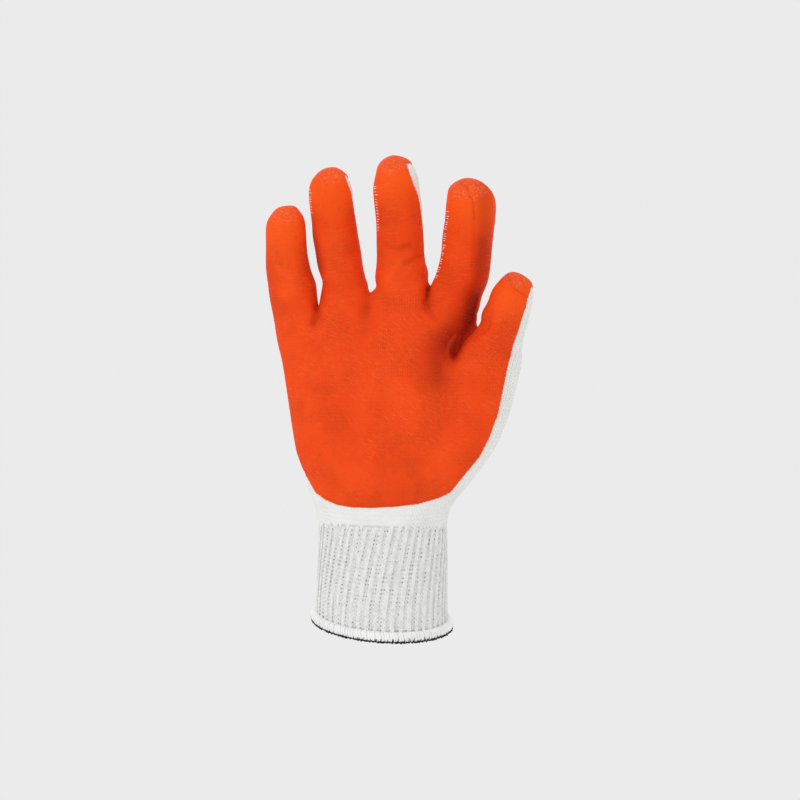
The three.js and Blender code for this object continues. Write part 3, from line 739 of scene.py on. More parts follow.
# Folds, dimples and shadowed hollows of the palm side: width (pixels), depth (millimetres, less than 0 is a
# ridge), painted shade on the latex there (painted light below 0), H hand, T thumb or B both, and the line it
# follows
FOLDS = [
    (8, 0.5, 0.82, "H", [(480, 300), (471, 320), (463, 338), (453, 354)]),
    (5, 0.3, 0.5, "H", [(479, 304), (470, 325), (462, 341), (452, 357)]),
    (13, 0.9, 0.45, "H", [(472, 302), (460, 326), (449, 344)]),
    (15, 0.9, 0.38, "H", [(452, 336), (436, 352), (437, 372)]),
    (22, 0.8, 0.12, "H", [(440, 345), (428, 358), (440, 385)]),
    (1.4, -0.35, -0.22, "H", [(455, 335), (449, 343), (446.5, 352), (448, 359), (453, 362)]),
    (1.0, -0.3, -0.14, "H", [(460, 337), (457, 349)]),
    (1.0, -0.3, -0.12, "H", [(466, 336), (462, 348)]),
    (3.2, 0.6, 0.75, "H", [(428, 287), (427, 297)]),
    (7, 0.8, 0.30, "H", [(427, 292), (428, 304)]),
    (1.8, 0.35, 0.22, "H", [(426, 300), (430, 311), (437, 319)]),
    (1.8, 0.3, 0.18, "H", [(423, 301), (426, 312), (433, 319)]),
    (5, 0.8, 0.42, "H", [(317, 309), (314, 323)]),
    (4, 0.4, 0.14, "H", [(318, 312), (324, 322)]),
    (6, 0.6, 0.24, "H", [(368, 297), (366, 312)]),
    (8, 0.4, 0.10, "H", [(366, 312), (365, 330)]),
    (6, 0.2, 0.12, "H", [(380, 296), (388, 300)]),
    (5, 0.1, 0.42, "H", [(311, 222), (316, 246), (321, 268)]),
    (5, 0.1, 0.22, "H", [(323, 284), (323, 300)]),
    (5, 0.1, 0.15, "H", [(306, 240), (308, 268), (312, 296)]),
    (7, 0.1, 0.12, "H", [(351, 210), (357, 250), (364, 280)]),
    (2.4, 0.4, 0.24, "H", [(420, 255), (411, 259), (404, 263)]),
    (3, 0.35, 0.18, "H", [(409, 244), (398, 248), (388, 246)]),
    (4, -0.4, -0.10, "H", [(409, 253), (398, 264), (389, 279)]),
    (7, 0.0, 0.09, "H", [(411, 190), (415, 228), (414, 250)]),
    (5, -0.4, -0.05, "H", [(421, 283), (415, 300)]),
    (1.6, 0.4, 0.20, "H", [(457, 182), (467, 189), (473, 203), (474, 218)]),
    (1.6, 0.3, 0.10, "H", [(474, 218), (473, 248), (471, 270)]),
    (8, 0.0, 0.25, "H", [(485, 186), (485, 225), (481, 262), (476, 292)]),
    (5, 0.0, 0.08, "H", [(480, 187), (481, 225), (477, 262)]),
    (8, 0.0, 0.10, "T", [(507, 280), (522, 285)]),
    (6, 0.0, 0.22, "H", [(481, 240), (478, 268), (473, 295), (467, 318)]),
    (14, 0.0, -0.15, "H", [(284, 236), (288, 290)]),
    (10, 0.0, -0.06, "H", [(334, 210), (340, 260)]),
    (4, 0.0, 0.14, "H", [(488, 250), (482, 290)]),
    (7, 0.1, 0.16, "T", [(492, 290), (482, 316), (474, 338)]),
    (1.5, 0.35, 0.20, "T", [(507, 275), (513, 288), (525, 297)]),
    (14, 0.5, 0.10, "H", [(412, 470), (408, 495)]),
    (12, 0.3, 0.05, "H", [(382, 470), (384, 492)]),
    (10, 0.5, 0.06, "H", [(346, 330), (350, 380), (346, 425)]),
    (9, -0.4, -0.03, "H", [(400, 350), (405, 400), (392, 440), (362, 468)]),
    (9, -0.3, -0.03, "H", [(304, 350), (308, 420)]),
    (1.8, 0.3, 0.0, "H", [(385, 510), (383, 519)]),
    (1.8, 0.35, 0.0, "H", [(407, 510), (405, 519)]),
    (1.8, 0.25, 0.0, "H", [(413, 512), (412, 519)]),
]


def side_weight(thumb, side):
    """How much of a change each point gets: H is the hand, T the thumb, and the others are both."""
    return thumb if side == "T" else 1 - thumb if side == "H" else np.ones_like(thumb)


def towards_camera(n):
    """How far normals point to the photograph's side, from -1 to 1."""
    return n[:, 0] * math.sin(AZIMUTH) - n[:, 1] * math.cos(AZIMUTH)


def shaped(values, quads):
    """Points and latex cover after the pulls on the outline and the drawing of the latex edge."""
    made = values.copy()
    px, py = picture(values[:, :3])
    thumb = np.clip(values[:, 5], 0, 1)
    right = np.array([math.cos(AZIMUTH), math.sin(AZIMUTH), 0])
    rightward = normals_of(values[:, :3], quads) @ right
    for x, y, dx, dy, reach, side in PULLS:
        w = np.exp(-((px - x) ** 2 + (py - y) ** 2) / reach ** 2) * side_weight(thumb, side)
        if side in "LR":
            w = w * smooth(((rightward if side == "R" else -rightward) + 0.1) / 0.4)
        made[:, :3] += w[:, None] * (right * dx + np.array([0, 0, dy])) * PIXEL
    px, py = picture(made[:, :3])
    n = normals_of(made[:, :3], quads)
    seen = smooth((towards_camera(n) + 0.25) / 0.25)
    for reach, side, line in EDGE_LINES:
        away, inside = from_line(px, py, line)
        w = np.exp(-(away / reach) ** 4) * seen * side_weight(thumb, side)
        if side == "H":
            w = w * smooth((n @ right + 0.1) / 0.3)
        made[:, 3] += w * (np.clip(away * np.sign(inside) * PIXEL, -4, 4) - made[:, 3])
    return made


def from_line(px, py, line):
    """How far points lie from a line of several parts, and how far to the right of its way along."""
    best, inside = np.full(len(px), 1e9), np.zeros(len(px))
    for (ax, ay), (bx, by) in zip(line, line[1:]):
        dx, dy = bx - ax, by - ay
        t = np.clip(((px - ax) * dx + (py - ay) * dy) / (dx * dx + dy * dy), 0, 1)
        away = np.hypot(px - ax - t * dx, py - ay - t * dy)
        cross = (dx * (py - ay) - dy * (px - ax)) / math.hypot(dx, dy)
        nearer = (away < best - 1e-6) | ((away < best + 1e-6) & (np.abs(cross) > np.abs(inside)))
        inside = np.where(nearer, cross, inside)
        best = np.minimum(best, away)
    return best, inside


def folded(p, n, thumb):
    """How far each point sinks along its normal, and how much shade is painted on the latex there."""
    px, py = picture(p)
    front = smooth((-n[:, 1] - 0.02) / 0.35)
    sink, shade = np.zeros(len(p)), np.zeros(len(p))
    for width, depth, dark, side, line in FOLDS:
        away = from_line(px, py, line)[0]
        w = np.exp(-(away / width) ** 2) * front * side_weight(np.clip(thumb, 0, 1), side)
        sink += depth * w
        # Painted shade adds up towards full; rows below nought paint light instead
        shade = shade + dark * w * (1 - np.maximum(shade, 0)) if dark > 0 else shade + dark * w
    return sink, shade


def dressed(levels):
    """The shaped and folded surface: values, faces, stitch numbers, normals and the folds' painted shade."""
    values, quads, uv = subdivided(cage, levels)
    values = shaped(values, quads)
    n = normals_of(values[:, :3], quads)
    sink, shade = folded(values[:, :3], n, values[:, 5])
    values[:, :3] -= n * sink[:, None]
    return values, quads, uv, normals_of(values[:, :3], quads), shade


def make_mesh(name, p, polygons, uv, material, attributes=None):
    """A mesh object from points in millimetres."""
    mesh = bpy.data.meshes.new(name)
    mesh.from_pydata((np.asarray(p) * MM).tolist(), [], [list(map(int, f)) for f in polygons])
    mesh.uv_layers.new(name="stitch").data.foreach_set("uv", np.asarray(uv, np.float32).ravel())
    for key, values in (attributes or {}).items():
        layer = mesh.attributes.new(key, "FLOAT", "POINT")
        layer.data.foreach_set("value", np.asarray(values, np.float32))
    mesh.shade_smooth()
    mesh.materials.append(material)
    o = bpy.data.objects.new(name, mesh)
    scene.collection.objects.link(o)
    return o


def grid_faces(rows, columns, closed=True):
    """The faces of a grid of points, closed round its columns or not, and their corners' column and row."""
    r, c = np.meshgrid(np.arange(rows - 1), np.arange(columns if closed else columns - 1), indexing="ij")
    corners = [(c, r), (c + 1, r), (c + 1, r + 1), (c, r + 1)]
    quads = np.stack([y * columns + x % columns for x, y in corners], -1)
    return quads.reshape(-1, 4), np.stack([np.stack(v, -1) for v in corners], -2).reshape(-1, 4, 2)


def latex_material():
    """Latex with the knit pressed through it, fine strokes on the palm and crackled fingertips."""
    m = Nodes("latex")
    at = m.position()
    height = m.stitches()
    tip, shade = m.attribute("tip"), m.attribute("shade")
    cap = m.range(m.plus(tip, m.times(m.noise(at, 260.0, 1.0), 3.0)), -1.7, -0.3)
    web = m.add("ShaderNodeTexVoronoi", m.warped(at, 420.0, 0.0016), feature="DISTANCE_TO_EDGE")
    web.inputs["Scale"].default_value = 620.0
    crackle = m.times(cap, m.range(web.outputs["Distance"], 0.13, 0.02))
    fine = m.noise(at, 900.0)
    patch = m.range(m.noise(at, 70.0), 0.42, 0.62, 0.35, 1.0)
    patch = m.times(patch, m.range(tip, -22.0, -6.0, 1.0, 0.35))
    # Painted highlight: ticks of lighter colour on the crests of the knit's imprint
    tick = m.times(m.range(height, 0.6, 0.95), m.times(patch, m.range(fine, 0.4, 0.6)))
    up = m.axes(at)[2]
    # The strokes are the imprint's fine ridges: a bump, with painted highlight along them that fades out
    # where shade is painted
    spread = m.times(m.range(m.noise(at, 48.0), 0.4, 0.6, 0.15, 1.0), m.range(shade, 0.4, 0.05))
    palm = m.times(spread, m.range(up, 0.166, 0.150))
    finger = m.times(spread, m.range(up, 0.150, 0.166, 0.0, 0.7))
    lines = m.plus(m.strokes(at, 28, 0.00135, palm), m.strokes(at, -4, 0.0016, finger))
    specks = m.range(m.noise(at, 620.0), 0.56, 0.7)
    base = m.mix(m.range(m.noise(at, 28.0), 0.35, 0.65), (0.87, 0.065, 0.008, 1), (0.93, 0.077, 0.0095, 1))
    color = m.layered(
        base,
        # Painted light: lighter towards the fingertips
        (m.range(tip, -26.0, -6.0), (0.985, 0.098, 0.009, 1)),
        # Painted light where the folds' shade is below nought
        (m.range(shade, 0.0, -0.2), (1.0, 0.1, 0.011, 1)),
        # Painted shade in the folds, hollows and shadowed sides
        (m.math("MULTIPLY", shade, 1.0, clamp=True), (0.2, 0.0008, 0.0005, 1)),
        (m.times(m.times(crackle, m.range(fine, 0.35, 0.55)), 0.55), (1.0, 0.24, 0.14, 1)),
        (m.times(tick, 0.22), (1.0, 0.15, 0.04, 1)),
        (m.times(lines, 0.38), (1.0, 0.16, 0.045, 1)),
        (m.times(specks, 0.2), (0.7, 0.03, 0.004, 1)),
    )
    normal = m.bump(m.times(height, patch), 0.00028, 0.9)
    normal = m.bump(lines, 0.00012, 0.5, normal)
    normal = m.bump(crackle, 0.0002, 0.35, normal)
    normal = m.bump(fine, 0.00004, 0.4, normal)
    return m.finish(color, m.range(fine, 0.3, 0.7, 0.5, 0.68), normal, specular=0.06)


def knit_material(name, light, dark, stain=True):
    """Plain knit: V stitches in unevenly washed cotton, with painted shade between them."""
    m = Nodes(name)
    at = m.position()
    height = m.stitches()
    fuzz = m.noise(at, 1600.0)
    uneven = m.times(m.range(m.noise(at, 35.0), 0.35, 0.7), 0.25)
    # Painted shade: the dark colour low between the stitches, the light one on their crests; the uneven mix
    # is the cotton's own
    color = m.mix(uneven, m.mix(m.range(height, 0.05, 0.6), dark, light), (0.86, 0.85, 0.81, 1))
    if stain:
        color = m.stained(color, fuzz)
    return m.cloth(color, height, 0.0005, 0.8, fuzz)


def yarn_material(name, light, dark, patchy=0.35, patches=90.0, stain=False):
    """Twisted cotton yarn, from the numbers across and along its strips."""
    m = Nodes(name)
    at = m.position()
    across, along = m.numbers()
    turn = m.plus(m.times(across, 1.2), m.times(along, 3.0))
    ply = m.math("ABSOLUTE", m.math("SINE", m.times(turn, math.pi)))
    fuzz = m.noise(at, 3200.0)
    shade = m.times(m.range(m.noise(at, patches), 0.35, 0.7), patchy)
    # Painted shade: darker in the grooves between the plies; the darker patches are the yarn's own uneven
    # tone
    color = m.layered(light, (m.times(m.minus(1.0, ply), 0.35), dark), (shade, dark))
    if stain:
        color = m.stained(color, fuzz)
    normal = m.bump(fuzz, 0.00006, 0.5, m.bump(ply, 0.00012, 0.5))
    return m.finish(color, 0.95, normal, specular=0.12)


def rib_material():
    """Elastic ribbing: soft furrows, with an eyelet on either side of them in every course."""
    m = Nodes("ribbing")
    at = m.position()
    wale, course = m.numbers()
    rib = m.math("FRACT", m.times(wale, 1 / 3))
    middle = m.math("ABSOLUTE", m.minus(rib, 0.5))
    across = m.times(m.minus(middle, 0.17), 4.0)
    along = m.times(m.minus(m.math("FRACT", course), 0.5), COURSE)
    away = m.math("SQRT", m.plus(m.times(across, across), m.times(along, along)))
    first = m.range(m.noise(at, 260.0, 3.0), 0.4, 0.62, 0.15, 1.0)
    second = m.range(m.noise(at, 310.0, 3.0), 0.44, 0.62, 0.1, 1.0)
    later = m.math("GREATER_THAN", rib, 0.5)
    some = m.plus(m.times(first, m.minus(1.0, later)), m.times(second, later))
    eye = m.times(m.range(away, 0.4, 0.2), some)
    # Painted shade: grey down the furrows between the ribs
    furrow = m.times(m.range(middle, 0.34, 0.05), 0.7)
    color = m.mix(furrow, (0.935, 0.935, 0.92, 1), (0.71, 0.715, 0.72, 1))
    # Painted shade: the eyelets, small holes, are painted nearly black
    color = m.mix(eye, color, (0.16, 0.16, 0.17, 1))
    return m.cloth(color, m.minus(1.0, eye), 0.0004, 0.6, m.noise(at, 1600.0))


def thread_material():
    m = Nodes("thread")
    fuzz = m.noise(m.position(), 2500.0)
    color = m.mix(fuzz, (0.006, 0.006, 0.008, 1), (0.03, 0.03, 0.035, 1))
    return m.finish(color, 0.85, m.bump(fuzz, 0.0001, 0.6), specular=0.2)


LATEX = latex_material()
# The second colour of each knit and yarn is its painted shade between the stitches or plies; the yarns also
# take it in random patches
KNIT = knit_material("knit", (0.95, 0.95, 0.92, 1), (0.8, 0.8, 0.77, 1))
RIBBING = rib_material()
OVERLOCK = knit_material("overlock", (0.95, 0.95, 0.93, 1), (0.85, 0.85, 0.83, 1), stain=False)
YARN = yarn_material("knit_yarn", (0.93, 0.93, 0.905, 1), (0.78, 0.78, 0.75, 1), stain=True)
RIB_YARN = yarn_material("ribbing_yarn", (0.92, 0.92, 0.91, 1), (0.7, 0.7, 0.7, 1), 0.6, 420.0)
WRAP_YARN = yarn_material("overlock_yarn", (0.97, 0.97, 0.955, 1), (0.88, 0.88, 0.86, 1))
THREAD = thread_material()

# The last value is the folds' painted shade
fine_values, fine_quads, fine_uv, fine_n, fine_painted_shade = dressed(3)
fine_p, fine_cover, fine_tip = fine_values[:, :3], fine_values[:, 3], fine_values[:, 4]


def edge_loops():
    """Short loops of yarn that come through the latex on the fingers' sides."""
    px, py = picture(fine_p)
    front = np.flatnonzero((towards_camera(fine_n) > 0.3) & (fine_tip > NO_TIP + 0.5))
    parts = []
    for long, wide, line in LOOP_ROWS:
        line = np.array(line, float)
        walk = np.concatenate([[0], np.cumsum(np.hypot(*np.diff(line, axis=0).T))])
        at = np.arange(0, walk[-1], LOOP_PITCH / PIXEL)
        x, y = np.interp(at, walk, line[:, 0]), np.interp(at, walk, line[:, 1])
        near = front[[np.argmin((px[front] - a) ** 2 + (py[front] - b) ** 2) for a, b in zip(x, y)]]
        p, n = fine_p[near], fine_n[near]
        along = unit(np.array([0.0, 0.0, 1.0]) - n * n[:, 2:])
        across = np.cross(n, along)
        k = np.arange(len(p))[:, None]
        reach = long * (1 + 0.25 * np.sin(k * 2.4)) * np.array([-1.0, -0.35, 0.35, 1.0])[None]
        lift = (GAP + LATEX_THICKNESS - 0.03 - reach ** 2 / 22)[..., None]
        centre = p[:, None] + (across[:, None] + 0.15 * along[:, None]) * reach[..., None] + n[:, None] * lift
        parts.append(strips(centre, np.repeat(n[:, None], 4, axis=1), wide * np.array([0.4, 1, 1, 0.4]),
                            0.16 * np.array([0.2, 1.0, 1.0, 0.2])))
    o = make_mesh("knit_edge_loops", *joined(parts), WRAP_YARN)
    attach(o, "root")


def latex_coat():
    """The latex skin: the fine surface cut where its cover is nought, raised behind a rounded rim."""
    px, _ = picture(fine_p)
    low, high = SHORT_CAP_SPAN
    short = fine_tip - SHORT_CAP * ((px > low) & (px < high))
    table = np.column_stack([fine_p, fine_n, fine_cover, short, fine_painted_shade])
    corners = fine_cover[fine_quads]
    inside = corners.min(1) > 0
    cut = (corners.max(1) > 0) & ~inside
    polygons = fine_quads[inside].tolist()
    marks, extra, made = [], [], {}
    for q, w in zip(fine_quads[cut].tolist(), fine_uv[cut]):
        loop = []
        for k, a in enumerate(q):
            after = (k + 1) % 4
            b = q[after]
            ca, cb = fine_cover[a], fine_cover[b]
            if ca > 0:
                loop.append(a)
                marks.append(w[k])
            if (ca > 0) != (cb > 0):
                t = min(0.97, max(0.03, ca / (ca - cb)))
                key = (min(a, b), max(a, b))
                if key not in made:
                    made[key] = len(table) + len(extra)
                    extra.append(mix(table[a], table[b], t))
                loop.append(made[key])
                marks.append(mix(w[k], w[after], t))
        polygons.append(loop)
    extra = np.array(extra)
    # The cover of a point on the cut is nought
    extra[:, 6] = 0
    uv = np.concatenate([fine_uv[inside].reshape(-1, 2), np.array(marks)])
    used, index = np.unique(np.concatenate(polygons), return_inverse=True)
    polygons = np.split(index, np.cumsum([len(f) for f in polygons])[:-1])
    table = np.concatenate([table, extra])[used]
    covered, tip, shade = table[:, 6:].T
    rim = np.clip(covered / RIM_WIDTH, 0, 1)
    height = (GAP + LATEX_THICKNESS) * np.sqrt(1 - (1 - rim) ** 2) - TUCK
    # The shade attribute is painted shade, and painted light below nought; tip also sets the painted light
    # towards the fingertips
    o = make_mesh("latex_coating_skin", table[:, :3] + table[:, 3:6] * height[:, None], polygons, uv, LATEX,
                  {"tip": tip, "cover": covered, "shade": shade})
    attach(o, "root")
    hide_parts("latex_coating")


def rib_top(angle):
    """The ribs end level on the palm side, higher up its tilted section than at the back."""
    return CUFF_LENGTH + 0.4 + RIB_TOP_FRONT * np.maximum(0, np.sin(angle))


def section_height(p):
    """The height of the tilted section that a point near the wrist lies in."""
    z = p[:, 2].copy()
    for _ in range(6):
        slope, roll = lean_at(z)
        z = p[:, 2] - (p[:, 1] - middle_y(z)) * slope + p[:, 0] * np.tan(roll)
    return z


def above_ribs(p):
    """How far points lie above the ribs' upper ends."""
    angle = np.arctan2(-(p[:, 1] - middle_y(p[:, 2])) / WRIST_DEPTH, -(p[:, 0] - WRIST_SHIFT) / WRIST_WIDTH)
    return section_height(p) - rib_top(angle)


def knit_shell():
    """The liner's outer face, which ends under the latex and dives under the ribs, and its inner face."""
    under_latex, under_ribs, dive = 2.0, 1.9, 1.5
    above = above_ribs(fine_p[fine_quads].mean(1))
    keep = (fine_cover[fine_quads].min(1) < under_latex) & (above > -under_ribs)
    used, index = np.unique(fine_quads[keep], return_inverse=True)
    p = fine_p[used]
    sunk = TUCK + dive * smooth((-0.3 - above_ribs(p)) / 0.8)
    o = make_mesh("knit_liner_outside", p - sunk[:, None] * fine_n[used], index.reshape(-1, 4),
                  fine_uv[keep], KNIT, {"cover": fine_cover[used], "tip": fine_tip[used]})
    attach(o, "root")
    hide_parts("knit_liner")
    values, quads, uv, n, _ = dressed(2)
    bare = np.full(len(n), -9.0)
    o = make_mesh("knit_liner_inside", values[:, :3] - KNIT_WALL * n, quads[:, ::-1], uv[:, ::-1], KNIT,
                  {"cover": bare, "tip": values[:, 4]})
    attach(o, "root")


def strips(centre, normal, half, high, lay=0.0):
    """Rounded strips of yarn along rows of points. Half width and height are millimetres along the strip."""
    side = unit(np.cross(unit(np.gradient(centre, axis=1)), normal))
    sideways = np.outer(half, [-1.0, -0.5, 0.5, 1.0])[..., None]
    rise = (np.outer(high, [0.0, 0.85, 0.85, 0.0]) + lay)[..., None]
    p = centre[:, :, None] + side[:, :, None] * sideways + normal[:, :, None] * rise
    many, length, wide = p.shape[:3]
    quads, cell = grid_faces(length, wide, closed=False)
    starts = np.arange(many)[:, None, None] * length * wide
    uv = np.tile(cell / np.array([wide - 1, length - 1]), (many, 1, 1))
    return p.reshape(-1, 3), (quads + starts).reshape(-1, 4), uv


def joined(parts):
    """Several sets of strips as one."""
    ps, qs, us = zip(*parts)
    starts = np.cumsum([0] + [len(p) for p in ps[:-1]])
    return np.concatenate(ps), np.concatenate([q + s for q, s in zip(qs, starts)]), np.concatenate(us)


def face_grids():
    """The grid of fine points of each four-cornered face of the coarse net, and its courses' span."""
    counts = np.array([len(f) for f in faces]) * FINE_STEPS ** 2 // 4
    starts = np.cumsum(counts) - counts
    kept = [i for i, f in enumerate(faces) if len(f) == 4]
    grids = np.zeros((len(kept), FINE_STEPS + 1, FINE_STEPS + 1), int)
    spans = []
    for k, i in enumerate(kept):
        (wale, low), (_, high) = wales[i][0], wales[i][2]
        spans.append((low, high))
        own = slice(starts[i], starts[i] + FINE_STEPS ** 2)
        c = np.rint((fine_uv[own, :, 0] - wale) / WALES_PER_STEP * FINE_STEPS).astype(int)
        r = np.rint((fine_uv[own, :, 1] - low) / (high - low) * FINE_STEPS).astype(int)
        grids[k][r.ravel(), c.ravel()] = fine_quads[own].ravel()
    return grids, spans


def between(values, home, s, t):
    """Values at places across and along coarse faces, from the grids of fine points of those faces."""
    i, j = (np.clip(np.floor(v), 0, FINE_STEPS - 1).astype(int) for v in (s, t))
    a, b = s - i, t - j
    h = np.broadcast_to(home.reshape((-1,) + (1,) * (s.ndim - 1)), s.shape)
    if values.ndim == 4:
        a, b = a[..., None], b[..., None]
    return (values[h, j, i] * (1 - a) * (1 - b) + values[h, j, i + 1] * a * (1 - b)
            + values[h, j + 1, i] * (1 - a) * b + values[h, j + 1, i + 1] * a * b)


def liner_stitches():
    """The V stitches of the knit wherever the latex leaves it bare."""
    grids, spans = face_grids()
    grid_p, grid_n, grid_c = fine_p[grids], fine_n[grids], fine_cover[grids]
    spots = []
    for k, (low, high) in enumerate(spans):
        if grid_c[k].min() > 0.6:
            continue
        course = FINE_STEPS / (high - low)
        for n in range(math.ceil(low - 0.5), math.ceil(high - 0.5)):
            for w in range(WALES_PER_STEP):
                spots.append((k, (w + 0.5) / WALES_PER_STEP * FINE_STEPS, (n + 0.5 - low) * course, course))
    spots = np.array(spots)
    home = spots[:, 0].astype(int)
    at = between(grid_p, home, spots[:, 1], spots[:, 2])
    ragged = 0.7 * np.sin(at[:, 0] * 1.7) + 0.3 * np.sin(at[:, 0] * 5.3) - 0.1
    keep = (between(grid_c, home, spots[:, 1], spots[:, 2]) < BARE_COVER) & (above_ribs(at) > ragged)
    hand = fine_tip[grids[home, FINE_STEPS // 2, FINE_STEPS // 2]] < NO_TIP + 1
    q = np.array([0.0, 0.36, 0.7, 1.0])
    half = 0.43 * np.array([0.55, 1.0, 1.0, 0.6])
    high = 0.42 * np.array([0.1, 0.95, 1.0, 0.35])
    for name, some in (("knit_stitches_hand", keep & hand), ("knit_stitches_fingers", keep & ~hand)):
        _, across, up, course = spots[some].T[..., None]
        parts, covers = [], []
        for side in (-1, 1):
            s = across + side * FINE_STEPS / WALES_PER_STEP * (0.05 + 0.36 * q)
            t = up + course * (-0.66 + 1.3 * q)
            c, n = between(grid_p, home[some], s, t), between(grid_n, home[some], s, t)
            parts.append(strips(c, unit(n), half, high, -0.08))
            covers.append(np.repeat(between(grid_c, home[some], s, t).ravel(), 4))
        p, quads, uv = joined(parts)
        o = make_mesh(name, p, quads, uv, YARN, {"cover": np.concatenate(covers)})
        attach(o, "root")


latex_coat()
knit_shell()
liner_stitches()
edge_loops()


def round_about(columns):
    """Angles round the cuff, in one row."""
    return (2 * np.pi * np.arange(columns) / columns)[None]


def cuff_points(z, angle, grow):
    """Points round the cuff's sections, so far outside its own surface."""
    z, angle, grow = np.broadcast_arrays(z, angle, grow)
    flare = MOUTH_FLARE * np.maximum(0, 1 - z / CUFF_LENGTH)
    up = np.clip((z - CUFF_LENGTH) / HEEL_LENGTH, 0, 0.1)
    rows = np.array(HEEL[:3], float).T
    little, thumb, deeper = (np.interp(up, rows[0], rows[k]) for k in (1, 2, 3))
    wider = (PALM_WIDTH / 2 - HEEL_INSET - WRIST_WIDTH / 2) * little
    right = (THUMB_SPREAD - WRIST_WIDTH / 2 - WRIST_SHIFT) * thumb
    half = WRIST_WIDTH / 2 + flare + grow + (wider + right) / 2
    deep = WRIST_DEPTH / 2 + 2 * flare + grow + (PALM_DEPTH - WRIST_DEPTH) / 2 * deeper
    shift = WRIST_SHIFT * smooth(z / CUFF_LENGTH) + (right - wider) / 2
    return section_point(z, shift - half * np.cos(angle), -deep * np.sin(angle))


def cuff_tube(name, z, angle, grow, cell_size, material, order=1):
    """A tube round the cuff, from its rows' heights, its columns' angles and how far out it lies."""
    p = cuff_points(z, angle, grow)
    quads, cell = grid_faces(*p.shape[:2])
    return make_mesh(name, p.reshape(-1, 3), quads[:, ::order], (cell * cell_size)[:, ::order], material)


def leaning(angle, z):
    """An angle round the cuff that turns with the ribs as they rise."""
    return angle + RIB_LEAN * (z / CUFF_LENGTH) ** 2


def rib_angle(share, z):
    """The angle of a place counted in ribs."""
    return leaning(2 * np.pi * share / RIBS, z)


def rib_fade(z, top):
    """The share of the ribs' depth that is left near their upper ends."""
    return 1 - smooth((z - top + 2.5) / 2.5)


def rib_cuff():
    """The cuff's ribbed outside and its smoother inside."""
    lap = 0.6
    low, high = HEM_HEIGHT - lap, CUFF_LENGTH + lap

    def cell_size(columns, rows):
        return np.array([3 * RIBS / columns, (high - low) / COURSE / (rows - 1)])

    columns, rows = RIBS * 12, 90
    angle = round_about(columns)
    top = rib_top(angle + RIB_LEAN)
    z = low + (top + 0.3 - low) * np.linspace(0, 1, rows)[:, None]
    wave = 0.5 - 0.5 * np.cos(angle * RIBS)
    depth = -0.34 - (RIB_HEIGHT - 0.3) * wave ** 1.3 * rib_fade(z, top)
    o = cuff_tube("rib_cuff_outside", z, leaning(angle, z), depth, cell_size(columns, rows), RIBBING)
    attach(o, "root")
    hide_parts("rib_cuff")
    columns, rows = 176, 24
    angle = round_about(columns)
    o = cuff_tube("rib_cuff_inside", np.linspace(low, high, rows)[:, None], angle,
                  -CUFF_WALL + 0.2 * np.cos(angle * RIBS), cell_size(columns, rows), RIBBING, order=-1)
    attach(o, "root")


def hem_outline(turn):
    """How far out and how high the hem's rounded section lies at a turn about its middle."""
    half = HEM_THICKNESS / 2
    out = HEM_FLARE - half + half * np.sign(np.cos(turn)) * np.abs(np.cos(turn)) ** 0.8
    return out, HEM_HEIGHT / 2 + HEM_HEIGHT / 2 * np.sign(np.sin(turn)) * np.abs(np.sin(turn)) ** 0.8


def hem_band():
    sides, columns = 20, 360
    out, up = hem_outline(2 * np.pi * np.arange(sides + 1)[:, None] / sides)
    o = cuff_tube("hem_band", up, round_about(columns), out, np.array([180 / columns, 8 / sides]), OVERLOCK)
    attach(o, "root")
    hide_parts("hem")


def edge_thread():
    """The black thread: an uneven round line under the hem, with a saw's teeth."""
    sides, columns = 8, 1440
    turn = (2 * np.pi * np.arange(sides + 1) / sides)[:, None]
    angle = round_about(columns)
    radius = 0.5 + 0.12 * np.sin(angle * WRAPS) + 0.08 * np.sin(angle * 23 + 1)
    out = HEM_FLARE - 0.62 + radius * np.cos(turn) + 0.12 * np.sin(angle * WRAPS / 2)
    saw = np.abs(np.sin(angle * 52 + 0.6 * np.sin(angle * 9))) ** 0.6
    up = -0.3 + radius * np.sin(turn) + 0.45 * saw
    up = up + 0.1 * np.sin(angle * WRAPS + 1) + 0.06 * np.sin(angle * 37)
    o = cuff_tube("edge_thread_line", up, angle, out, 0.25, THREAD)
    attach(o, "root")
    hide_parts("edge_thread")


def cuff_frame(z, angle, grow):
    """Points of the cuff and their outward normals."""
    p = cuff_points(z, angle, grow)
    round_it = cuff_points(z, angle + 0.002, grow) - p
    up = cuff_points(z + 0.05, angle, grow) - p
    return p, unit(np.cross(round_it, up))


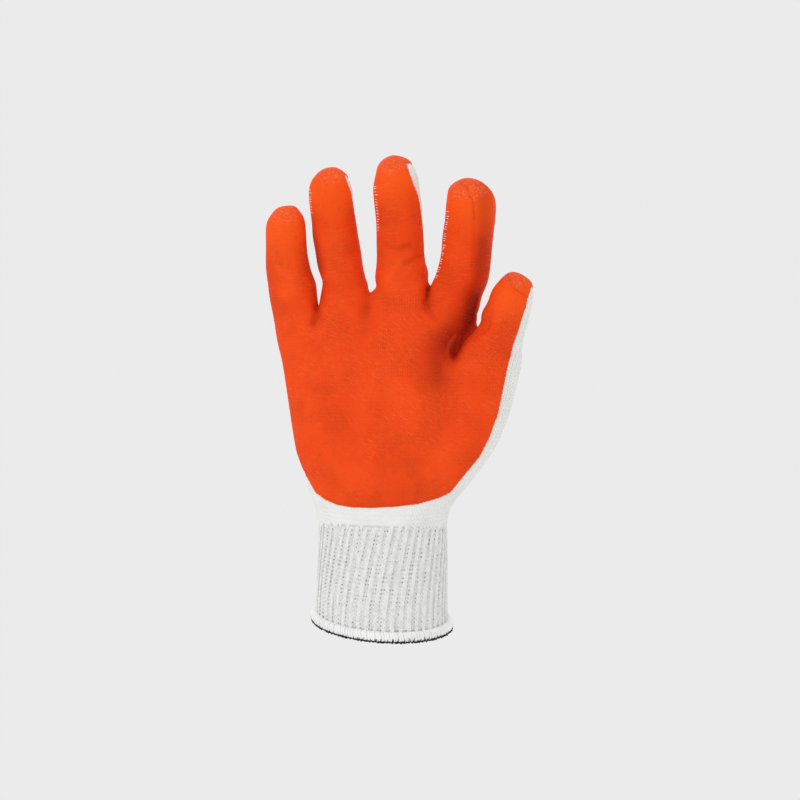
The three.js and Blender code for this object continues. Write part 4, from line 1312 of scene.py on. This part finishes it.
def rib_stitches():
    """One column of V stitches on each rib, and the small bars of yarn in the furrow beside it."""
    low, high = HEM_HEIGHT - 0.4, CUFF_LENGTH + 0.4 + RIB_TOP_FRONT
    rows = int((high - low) / COURSE)
    rib, row = (v.ravel() for v in np.meshgrid(np.arange(RIBS), np.arange(rows), indexing="ij"))
    z0 = low + (row + 0.5) * (high - low) / rows
    some = z0 < rib_top(rib_angle(rib, z0)) + 0.8 * np.sin(rib * 3.3)
    rib, row, z0 = rib[some][:, None], row[some][:, None], z0[some][:, None]
    place = rib + 0.035 * np.sin(rib * 2.399 + row * 0.21) + 0.02 * np.sin(rib * 5.1 + row * 0.63)
    q = np.array([0.0, 0.3, 0.55, 0.8, 1.0])
    half = 0.5 * np.array([0.5, 0.95, 1.0, 0.9, 0.55])
    high = 0.44 * np.array([0.05, 0.8, 1.0, 0.85, 0.3])
    parts = []
    z = z0 + COURSE * (-0.68 + 1.36 * q)
    for side in (-1, 1):
        angle = rib_angle(place + side * (0.02 + 0.17 * q), z)
        parts.append(strips(*cuff_frame(z, angle, -0.36 - 0.15 * q ** 2), half, high))
    q = np.array([0.0, 0.25, 0.5, 0.75, 1.0])
    fade = rib_fade(z0, rib_top(rib_angle(rib, z0)))
    z = z0 + COURSE * (0.3 - 0.42 * np.sin(np.pi * q))
    p, n = cuff_frame(z, rib_angle(place + 0.37 + 0.26 * q, z), -0.42 - (RIB_HEIGHT - 0.45) * fade)
    half = 0.6 * np.array([0.8, 1, 1, 1, 0.8])
    parts.append(strips(p, n, half, 0.3 * np.array([0.4, 0.95, 1.0, 0.95, 0.4])))
    o = make_mesh("rib_stitches", *joined(parts), RIB_YARN)
    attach(o, "root")


def hem_yarn(name, turn, angle, lift, half, high, material):
    """Strands on the hem, along rows of turns about its section and of angles round the cuff."""
    out, up = hem_outline(turn)
    p = cuff_points(up, angle, out + lift)
    n = unit(p - cuff_points(HEM_HEIGHT / 2, angle, HEM_FLARE - HEM_THICKNESS / 2))
    return make_mesh(name, *strips(p, n, half, high), material)


def hem_wraps():
    """The overlock's white strands round the hem, and its short black ones on the lower edge."""
    k = np.arange(WRAPS)[:, None]
    q = np.linspace(-0.35, 0.35, 11)
    angle = 2 * np.pi * (k + 0.075 * np.sin(k * 2.4) + 0.06 * np.sin(k * 5.3) + q) / WRAPS
    o = hem_yarn("hem_wraps", np.radians(np.linspace(108, -112, 11)) + 0 * k, angle, 0, 0.6 * np.ones(11),
                 0.2 + 0.02 * np.cos(np.arange(11)), WRAP_YARN)
    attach(o, "root")
    many = 2 * WRAPS
    k = np.arange(many)[:, None]
    front = np.exp(-((k / many - 0.32) / 0.12) ** 2)
    long = (0.7 + 0.35 * front) * (1.0 + 0.5 * np.sin(k * 2.1) + 0.35 * np.sin(k * 4.7))
    q = np.linspace(0, 1, 5)
    angle = 2 * np.pi * (k + 0.7 * q + 0.2 * np.sin(k * 1.7)) / many
    o = hem_yarn("edge_thread_ticks", np.radians(-70 + 44 * long * q), angle, 0.16,
                 0.27 * np.array([1, 1, 0.9, 0.7, 0.3]), 0.34 * np.array([1, 1, 1, 0.9, 0.4]), THREAD)
    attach(o, "root")


rib_cuff()
rib_stitches()
hem_band()
hem_wraps()
edge_thread()

bpy.context.view_layer.update()
